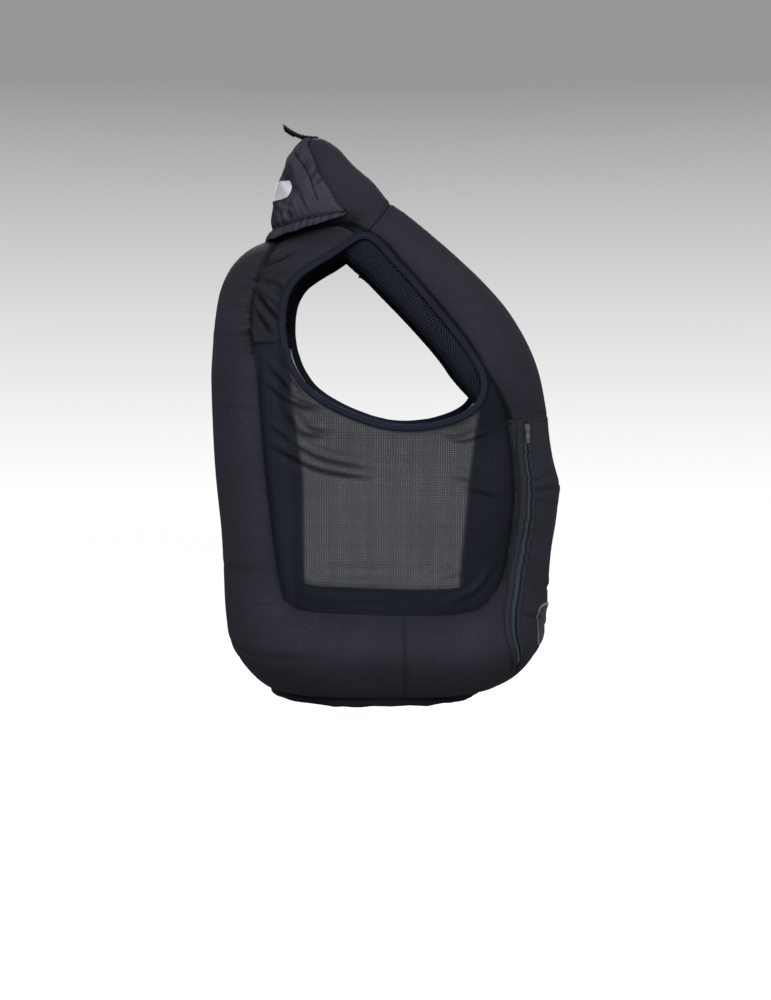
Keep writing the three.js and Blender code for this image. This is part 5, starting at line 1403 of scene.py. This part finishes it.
def pouchRelief(across, low):
    spec = pouchSpec
    point = pouchPoint(across, low)
    point = np.where(point[..., :1] > 0, mirrored(point), point)
    share = pouchShare(low)
    toFoot = np.exp(-share * 8)
    even = np.minimum(across, 1 - across)
    gathers = spec["gather"] * toFoot * softNoise(even * spec["gathers"] * 2.2, share * 3, 61)
    gathers = gathers * np.clip(share * 14, 0, 1)
    broad = spec["broad"] * softNoise(even * 9, share * 3.2, 62)
    inside = np.clip(across * (1 - across) * 60, 0, 1) * np.clip(12 * (1 - share), 0, 1)
    return (strokeRelief(point, pouchFolds) + gathers + broad * np.clip(share * 8, 0, 1)) * inside


def pouchShade(across, low, relief):
    # painted shade in the side seam, along the side edges and the foot, and in the folds
    dark, point = pouchShadeSpec, pouchPoint(across, low)
    point = np.where(point[..., :1] > 0, mirrored(point), point) * np.array([0, 1, 1])
    seam = sideLine(pouchFolds["sideSeam"][0], 60)
    share = pouchShare(low)
    shade = dark["seam"] * np.exp(-(nearestOnLine(seam, point)[0] / 0.9) ** 2)
    shade += dark["side"] * np.exp(-(np.minimum(across, 1 - across) * 260 / 1.8) ** 2)
    shade += dark["foot"] * np.exp(-(share * 130 / 2.2) ** 2)
    return np.clip(shade + dark["fold"] * np.clip(-relief / 2.4, 0, 1), 0, dark["most"])


def collarPouch():
    spec = pouchSpec
    ways = np.linspace(0, 1, spec["columns"] + 1)
    lows = np.linspace(spec["low"], spec["high"], spec["rows"] + 1)
    across, low = np.meshgrid(0.55 * ways + 0.45 * eased(ways), lows, indexing="ij")
    relief = pouchRelief(across, low)
    uv = np.stack([pouchPlace(across, low) * 34, low * 150], -1)
    outer, inner = pouchPoint(across, low, relief + spec["wall"]), pouchPoint(across, low, relief)
    return gridWall("collarPouch", outer, inner, uv, finish["pouchCloth"], pouchShade(across, low, relief))


def bandGather(across):
    even = np.minimum(across, 1 - across)
    return np.cos(2 * np.pi * (pouchSpec["gathers"] * even + 0.9 * softNoise(even * 16, 0.3, 63)))


def bandPoint(across, down, extra):
    spec = pouchSpec
    place = pouchPlace(across, spec["low"])
    inward = upperPoint(place, spec["low"] + 0.08, "outer") - upperPoint(place, spec["low"], "outer")
    even = np.minimum(across, 1 - across)
    pinch = bump(down, spec["stitchDown"], 0.08)  # the elastic's stitch line
    end = 0.35 + 0.65 * np.sin(np.pi * across) ** 0.7
    roll = spec["roll"] * np.sin(np.pi * np.clip((down - 0.16) / 0.84, 0, 1)) + spec["lip"] * bump(down, 0.93, 0.06)
    uneven = 0.6 + 0.6 * softNoise(even * 11, 0.6, 65)
    ruffle = spec["ruffle"] * bandGather(across) * uneven * (0.3 + 0.7 * down) * np.clip(down * 6, 0, 1)
    ruffle = ruffle + roll - spec["pinch"] * pinch
    point = pouchPoint(across, np.full(across.shape, spec["low"]), extra + spec["bandFlare"] * down * end + ruffle)
    wave = 1 + 0.12 * softNoise(even * 21, 0.8, 64)
    return point - unit(inward) * (spec["bandLength"] * down * end * wave)[..., None]


def pouchHemBand():
    spec, dark = pouchSpec, pouchShadeSpec
    across, down = evenGrid((0, 1, spec["bandColumns"]), (0, 1, spec["bandRows"]))
    uv = np.stack([across * 300, down * 16], -1)
    # painted shade in the elastic's stitch line, in the crease above the lip and in the gathers' valleys
    shade = dark["stitch"] * bump(down, spec["stitchDown"], 0.05) + dark["lip"] * bump(down, 0.86, 0.03)
    shade += dark["gather"] * np.clip(-bandGather(across), 0, 1) * np.clip(1.2 - down, 0, 1)
    shade = np.clip(shade, 0, dark["most"])
    return gridWall("pouchHemBand", bandPoint(across, down, spec["wall"] + 0.2), bandPoint(across, down, 0.0), uv,
                    finish["pouchCloth"], shade)


pieces["collarPouch"] = collarPouch()
pieces["pouchHemBand"] = pouchHemBand()

# Plain pale label on the pouch
labelSpec = {"low": 0.28, "high": 0.475, "half": 1.75, "lean": 0.09, "columns": 130, "rows": 22, "wall": 0.7}


def collarLabel():
    spec = labelSpec
    a, b = evenGrid((-1, 1, spec["columns"]), (-1, 1, spec["rows"]))
    corner = np.clip((np.abs(a) - 0.86) / 0.14, 0, 1)  # round ends
    b = b * np.sqrt(np.maximum(1 - 0.9 * corner ** 2, 0.05))
    low = blend(spec["low"], spec["high"], (b + 1) / 2)
    place = middleAt + spec["half"] * a * (1 + spec["lean"] * (1 - b))  # its ends stay upright on the leaning collar
    start, end = pouchPlace(0.0 * low, low), pouchPlace(0.0 * low + 1, low)
    across = (place - start) / (end - start)
    relief = pouchRelief(across, low) + pouchSpec["wall"] + 0.5
    uv = np.stack([a * 85, b * 15], -1)
    return gridWall("collarLabel", pouchPoint(across, low, relief + spec["wall"]), pouchPoint(across, low, relief), uv,
                    finish["paleLabel"])


pieces["collarLabel"] = collarLabel()
print("pouch made")

# Closing tab on the collar with its hook patch
tabSpec = {"forward": [-66, -76, -88, -100, -110], "up": [116.6, 117.4, 119.8, 126, 133.5], "half": 21.0, "wall": 2.2,
           "columns": 28, "rows": 36, "hookFrom": 0.66, "hookTo": 0.94, "hookHalf": 17.0}
tabLine = rightPoint(0, tabSpec["forward"], tabSpec["up"])


def tabPoint(side, share, height):
    spec = tabSpec
    middle = splinePoint(tabLine, share * (len(tabLine) - 1))
    step = splinePoint(tabLine, np.clip(share + 0.01, 0, 1) * 4) - splinePoint(tabLine, np.clip(share - 0.01, 0, 1) * 4)
    lift = unit(np.cross(unit(step), np.array([1.0, 0, 0])))
    lift = lift * np.where(lift[..., 2:] < 0, -1, 1)
    curl = 1.6 * (side / spec["half"]) ** 2 * share  # the corners curl a little
    point = middle + lift * (height - curl)[..., None]
    point[..., 0] += side
    return point


def collarTab():
    spec = tabSpec
    a, share = evenGrid((-1, 1, spec["columns"]), (0, 1, spec["rows"]))
    corner = np.clip((share - 0.86) / 0.14, 0, 1)
    side = a * spec["half"] * np.sqrt(1 - 0.32 * corner ** 2)
    soft = 1 - np.maximum(np.abs(a), np.abs(2 * share - 1)) ** 10  # thin rounded edges
    uv = np.stack([side, share * 50], -1)
    outer = tabPoint(side, share, spec["wall"] / 2 + spec["wall"] / 2 * (0.3 + 0.7 * soft))
    inner = tabPoint(side, share, spec["wall"] / 2 - spec["wall"] / 2 * (0.3 + 0.7 * soft))
    return gridWall("collarTab", outer, inner, uv, finish["pouchCloth"])


pieces["collarTab"] = collarTab()


def rowMesh(name, rows):  # lines of points with the way each one faces, ready for a stitch row
    points, faces, edges = [], [], []
    for line, face in rows:
        start = len(points)
        points += (np.asarray(line) * mm).tolist()
        faces.append(np.broadcast_to(face, np.shape(line)))
        edges += [(i, i + 1) for i in range(start, start + len(line) - 1)]
    mesh = bpy.data.meshes.new(name)
    mesh.from_pydata(points, edges, [])
    attribute = mesh.attributes.new("face", "FLOAT_VECTOR", "POINT")
    attribute.data.foreach_set("vector", np.concatenate(faces).astype(np.float32).ravel())
    return linked(name, mesh)


def stitchPiece(name, rows, spec, material):
    values = {"Pitch": spec["pitch"] * mm, "Length": spec["length"] * mm, "Width": spec["width"] * mm,
              "Thickness": spec["thick"] * mm, "Material": material}
    return grown(rowMesh(name + "Path", rows), stitchTree, values, name)


hookSpec = {"pitch": 1.6, "length": 0.6, "width": 0.6, "thick": 1.3, "rows": 7}


def hookPatch():
    spec = tabSpec
    a, b = evenGrid((-1, 1, 14), (spec["hookFrom"], spec["hookTo"], 8))
    uv = np.stack([a * 17, b * 45], -1)
    base = gridWall("tabHookPatch", tabPoint(a * spec["hookHalf"], b, np.full(a.shape, -0.3)),
                    tabPoint(a * spec["hookHalf"], b, np.full(a.shape, -1.5)), uv, finish["hookTape"])
    rows = []
    for share in np.linspace(spec["hookFrom"] + 0.02, spec["hookTo"] - 0.02, hookSpec["rows"]):
        side = np.linspace(-spec["hookHalf"] + 1, spec["hookHalf"] - 1, 40)
        line = tabPoint(side, np.full(40, share), np.full(40, -1.9))
        rows.append((line, np.array([0, 0.6, -0.8])))
    return base, stitchPiece("tabHooks", rows, hookSpec, finish["hookTape"])


pieces["tabHookPatch"], pieces["tabHooks"] = hookPatch()
print("tab made")

# Access zip on the right front
zipSpec = {"up": [-528, -505, -490, -471, -453, -430, -382, -343, -309, -273, -234],
           "forward": [163, 172, 172, 167, 167, 172, 181, 187, 188.5, 185, 183.5], "top": -234.0, "bottom": -511.0,
           "tapeBottom": -502.0, "halfAt": [-512, -500, -480, -450, -390, -320, -260, -234],
           "half": [0.8, 1.4, 2.6, 3.2, 2.8, 2.1, 1.7, 1.5], "hidden": 2.6, "gap": 1.2, "tapeWall": 1.0,
           "coilFrom": -497.0, "coilTo": -246.0}
zipHalfAt = column(zipSpec["halfAt"], zipSpec["half"])
zipForwardAt = column(zipSpec["up"], zipSpec["forward"])
teethSpec = {"pitch": 1.45, "length": 1.2, "width": 3.3, "thick": 1.5}
lipSpecs = {"front": {"side": -1, "edge": 0.7, "width": 8.5, "rise": 3.3, "seed": 72},
            "back": {"side": 1, "edge": 0.9, "width": 7.0, "rise": 1.9, "seed": 76}}
lipCount = {"rows": 200, "columns": 14, "wall": 1.0}


def zipTurn(up):
    up = np.asarray(up, float)
    low = np.full(up.shape, 0.33)
    high = np.where(up > sizes["cornerUp"], turnAt(frontSeamAt(up), up), 1.2)
    for _ in range(32):
        middle = (low + high) / 2
        isBefore = -padPoint(middle, up)[..., 1] > zipForwardAt(up)
        low, high = np.where(isBefore, middle, low), np.where(isBefore, high, middle)
    return (low + high) / 2


zipUps = np.linspace(zipSpec["bottom"] - 6, zipSpec["top"] + 8, 220)
zipTurns = zipTurn(zipUps)


def besideZip(aside, up, height):  # a place beside the zip's middle line; positive is towards the back
    turn = np.interp(up, zipUps, zipTurns)
    perTurn = np.linalg.norm(padPoint(turn + 0.01, up) - padPoint(turn - 0.01, up), axis=-1) / 0.02
    shifted = turn + aside / perTurn
    face = padNormal(shifted, up)
    return padPoint(shifted, up, "outer", 0, True) + face * np.asarray(height)[..., None], face


def zipTape():
    spec = zipSpec
    c, up = evenGrid((-1, 1, 18), (spec["tapeBottom"], spec["top"], 180))
    half = zipHalfAt(up)
    aside = c * (half + spec["hidden"])
    uv = np.stack([aside, up], -1)
    ripple = 0.2 * softNoise(up / 9, c, 71) * np.abs(c)
    # painted shadow: the tape is dark where it runs under the lips
    shade = 0.92 * np.clip((np.abs(aside) - half + 0.9) / 0.8, 0, 1)
    outer = besideZip(aside, up, spec["gap"] + spec["tapeWall"] + ripple)[0]
    inner = besideZip(aside, up, spec["gap"] + ripple)[0]
    return gridWall("zipTape", outer, inner, uv, finish["zipTapeCloth"], shade)


def zipCoil():
    spec = zipSpec
    up = np.linspace(spec["coilFrom"], spec["coilTo"], 240)
    row = besideZip(np.zeros(up.shape), up, np.full(up.shape, spec["gap"] + spec["tapeWall"] + 0.6))
    return stitchPiece("zipCoil", [row], teethSpec, finish["zipCoil"])


def lipPlace(spec, s, up):  # aside and height of the cloth edge beside the coil; s is 1 at its free edge
    seed = spec["seed"]
    wave = 1 + 0.09 * softNoise(up / 18, 0.2, seed) + 0.04 * softNoise(up / 6, 0.5, seed + 1)
    free = zipHalfAt(up) + spec["edge"] + 0.1 * softNoise(up / 20, 0.8, seed + 2)
    aside = spec["side"] * (free + spec["width"] * (1 - s))
    ends = np.clip((up - zipSpec["bottom"]) / 16, 0, 1) * np.clip((zipSpec["top"] + 4 - up) / 8, 0, 1)
    return aside, 0.35 + spec["rise"] * wave * np.sin(np.pi * (0.04 + 0.66 * s)) ** 1.3 * (0.15 + 0.85 * ends)


def zipLip(name, spec):  # raised cloth edge along one side of the coil
    s, up = evenGrid((0, 1, lipCount["columns"]), (zipSpec["bottom"], zipSpec["top"] + 4, lipCount["rows"]))
    aside, height = lipPlace(spec, s, up)
    uv = np.stack([aside, up], -1)
    # painted shade where the lip meets the pad and along its free edge
    shade = 0.6 * np.exp(-(s / 0.05) ** 2) + 0.5 * np.exp(-((1 - s) / 0.07) ** 2)
    outer = besideZip(aside, up, height + lipCount["wall"] * (0.25 + 0.75 * np.clip(s * 5, 0, 1)))[0]
    inner = besideZip(aside, up, height * np.clip(s * 4, 0, 1))[0]
    return gridWall(name, outer, inner, uv, finish["shellCloth"], shade)


pieces["zipTape"] = zipTape()
pieces["zipCoil"] = zipCoil()
pieces["zipLipFront"] = zipLip("zipLipFront", lipSpecs["front"])
pieces["zipLipBack"] = zipLip("zipLipBack", lipSpecs["back"])
print("zip made")

# Plain rimmed patch low on the right front
patchSpec = {"side": 84.0, "up": -466.0, "halfSide": 30.0, "halfUp": 22.0, "wall": 0.8, "lie": 0.35, "round": 0.24}
rimSpec = {"pitch": 1.1, "length": 1.25, "width": 4.0, "thick": 1.3, "steps": 40}


def patchPoint(a, b, height):
    spec = patchSpec
    side = spec["side"] + spec["halfSide"] * a
    up = spec["up"] + spec["halfUp"] * b
    turn = np.arctan2(side, bodyAt["front"](up) - sizes["axis"])
    return padPoint(turn, up, "outer", 0, True) + padNormal(turn, up) * np.asarray(height)[..., None]


def patchRound(a, b, height):  # the corners are drawn in
    keep = 1 - patchSpec["round"] * (a * b) ** 2
    return patchPoint(a * keep, b * keep, np.full(a.shape, height))


def frontPatch():
    spec = patchSpec
    a, b = evenGrid((-1, 1, 36), (-1, 1, 32))
    uv = np.stack([a * spec["halfSide"], b * spec["halfUp"]], -1)
    outer, inner = patchRound(a, b, spec["lie"] + spec["wall"]), patchRound(a, b, spec["lie"])
    base = gridWall("frontPatch", outer, inner, uv, finish["patchCloth"])
    edge = np.linspace(-1, 1, rimSpec["steps"], endpoint=False)
    one = np.ones(rimSpec["steps"])
    ringA = np.concatenate([edge, one, -edge, -one, edge[:1]])
    ringB = np.concatenate([-one, edge, one, -edge, -one[:1]])
    keep = 1 - spec["round"] * (ringA * ringB) ** 2
    height = np.full(ringA.shape, spec["lie"] + spec["wall"] * 0.7)
    line, within = (patchPoint(ringA * keep * share, ringB * keep * share, height) for share in (1.0, 0.9))
    face = padNormal(np.full(ringA.shape, 0.5), np.full(ringA.shape, spec["up"]))
    return base, stitchPiece("patchRim", [(blend(line, within, 0.35), face)], rimSpec, finish["patchRim"])


pieces["frontPatch"], pieces["patchRim"] = frontPatch()

# Plain closing strip at centre front
closureSpec = {"half": 7.6, "low": -555.7, "high": -220.0, "wall": 3.0, "columns": 12, "rows": 150}


def centreClosure():
    spec = closureSpec
    a, up = evenGrid((-1, 1, spec["columns"]), (spec["low"], spec["high"], spec["rows"]))
    front = bodyPoint(0.0 * up, up)
    crown = (1 - np.abs(a) ** 6) * 0.7 + 0.3 + 0.12 * softNoise(up / 8, a * 2, 75)
    rib = 0.25 * np.cos(a * np.pi * 4)
    half = spec["wall"] / 2

    def layer(height):
        point = front.copy()
        point[..., 0] = a * spec["half"]
        point[..., 1] -= height
        return point
    uv = np.stack([a * spec["half"], up], -1)
    return gridWall("centreClosure", layer(half * crown + rib), layer(-half * crown), uv, finish["bindingTape"])


pieces["centreClosure"] = centreClosure()
print("patch and closure made")

# Stitch rows, made once on the right and mirrored
threadSpec = {"pitch": 4.3, "length": 2.5, "width": 1.15, "thick": 0.5, "above": 0.15}


def meshBorderRows():
    middle = sideMeshMiddle()[0]
    outward = facingRight(gridNormals(middle))
    line = middle + outward * (sideMeshSpec["wall"] / 2 + threadSpec["above"])
    borders = ((3, slice(4, 115)), (117, slice(4, 99)), (slice(4, 117), 3))  # back, front and foot of the mesh's grid
    return [(line[border], outward[border]) for border in borders]


def yokeRows():
    middle, outward = yokeMiddle()[:2]
    line = middle + outward * (yokeSpec["wall"] / 2 + threadSpec["above"])
    borders = ((slice(3, 81), 2), (3, slice(5, 96)))  # foot and pad side of the yoke's grid
    return [(line[border], outward[border]) for border in borders]


def armholeRows():
    place = np.linspace(0, armholeCount, 420)
    centre, away, face = armholeFrame(place)[:3]
    outward = facingRight(face)
    aside = bindingSpec["stitchAside"] + tapeDrift(place)
    return [(centre + away * aside[:, None] + outward * (sizes["bindingHalf"] * 0.97), outward)]


def upperRows():
    rows = []
    across = np.linspace(0.13, 0.96, 90)
    for start in (-1 + 0.2, shoulderAt - 0.19, shoulderAt + 0.19):
        place = np.full(across.shape, start)
        normal = upperNormal(place, across)
        rise = upperDetail(place, across)
        rows.append((upperPoint(place, across, "outer", rise + 0.1), normal))
    return rows


def zipRows():
    up = np.linspace(zipSpec["bottom"] + 2, zipSpec["top"] + 2, 220)
    aside, height = lipPlace(lipSpecs["front"], np.full(up.shape, 0.32), up)
    return [besideZip(np.full(up.shape, 13.5), up, np.full(up.shape, 0.12)),
            besideZip(aside, up, height + lipCount["wall"] + 0.05)]


def seamRows():
    up = np.full(80, sizes["chestSeamUp"] - 5.2)
    turn = np.linspace(turnAt(frontSeamAt(up[0]), up[0]) - 0.03, closureTurn(up[0]) + 0.03, 80)
    sideUp = np.linspace(sizes["hemUp"] + 6, -463, 50)
    sideTurn = turnAt(np.full(50, sizes["sideSeam"]), sideUp)
    return [(padPoint(t, u, "outer", 0.12, True), padNormal(t, u)) for t, u in ((turn, up), (sideTurn, sideUp))]


def hemRows():
    turn = np.linspace(0.05, np.pi - 0.02, 300)
    out = unit(bodyNormal(turn, np.full(turn.shape, sizes["hemUp"] - 4)) * np.array([1, 1, 0]))
    lowShare = 0.5 - hemSpec["stitchUp"] / hemSpec["tall"]
    line = bodyPoint(turn, sizes["hemUp"] - hemSpec["drop"] + hemSpec["stitchUp"] + hemWave(turn) * lowShare)
    line = line + out * (hemSpec["wall"] + 0.45 + hemLean(turn) * lowShare)[:, None]
    return [(line, out)]


def pouchRows():
    across = np.linspace(0.02, 0.5, 160)
    low = np.full(across.shape, pouchSpec["low"])
    point = bandPoint(across, np.full(across.shape, pouchSpec["stitchDown"]), pouchSpec["wall"] + 0.3)
    return [(point, upperNormal(pouchPlace(across, low), low))]


def closureRows():
    up = np.linspace(closureSpec["low"] + 3, closureSpec["high"] - 3, 200)
    line = bodyPoint(0 * up, up) + np.array([-4.0, -1.75, 0])
    return [(line, np.array([0, -1.0, 0]))]


def tabRows():
    share = np.linspace(0.1, 0.9, 60)
    line = tabPoint(np.full(60, -18.5), share, np.full(60, tabSpec["wall"] + 0.1))
    return [(line, np.array([0, 0, 1.0]))]


bothSides = meshBorderRows() + yokeRows() + armholeRows() + upperRows() + seamRows() + hemRows() + pouchRows() \
    + closureRows() + tabRows()
pieces["stitchesRight"] = stitchPiece("stitchesRight", bothSides, threadSpec, finish["stitchThread"])
addLeft("stitches")
pieces["zipStitches"] = stitchPiece("zipStitches", zipRows(), threadSpec, finish["stitchThread"])
print("stitches made", len(pieces["stitchesRight"].data.polygons))

# Metal slider and pull keep their solids and get the plated finish
for node in ("zip_slider", "zip_pull"):
    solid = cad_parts[node]
    solid.data.materials.clear()
    solid.data.materials.append(finish["metal"])


def nodeName(name):  # the solid of the same name, such as back_panel for backPanel
    return "".join("_" + letter.lower() if letter.isupper() else letter for letter in name)


for name, piece in pieces.items():
    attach(piece, "vest")
    if nodeName(name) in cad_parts:
        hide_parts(nodeName(name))

print("vest dressed", sum(len(p.vertices) - 2 for piece in pieces.values() for p in piece.data.polygons), "triangles")
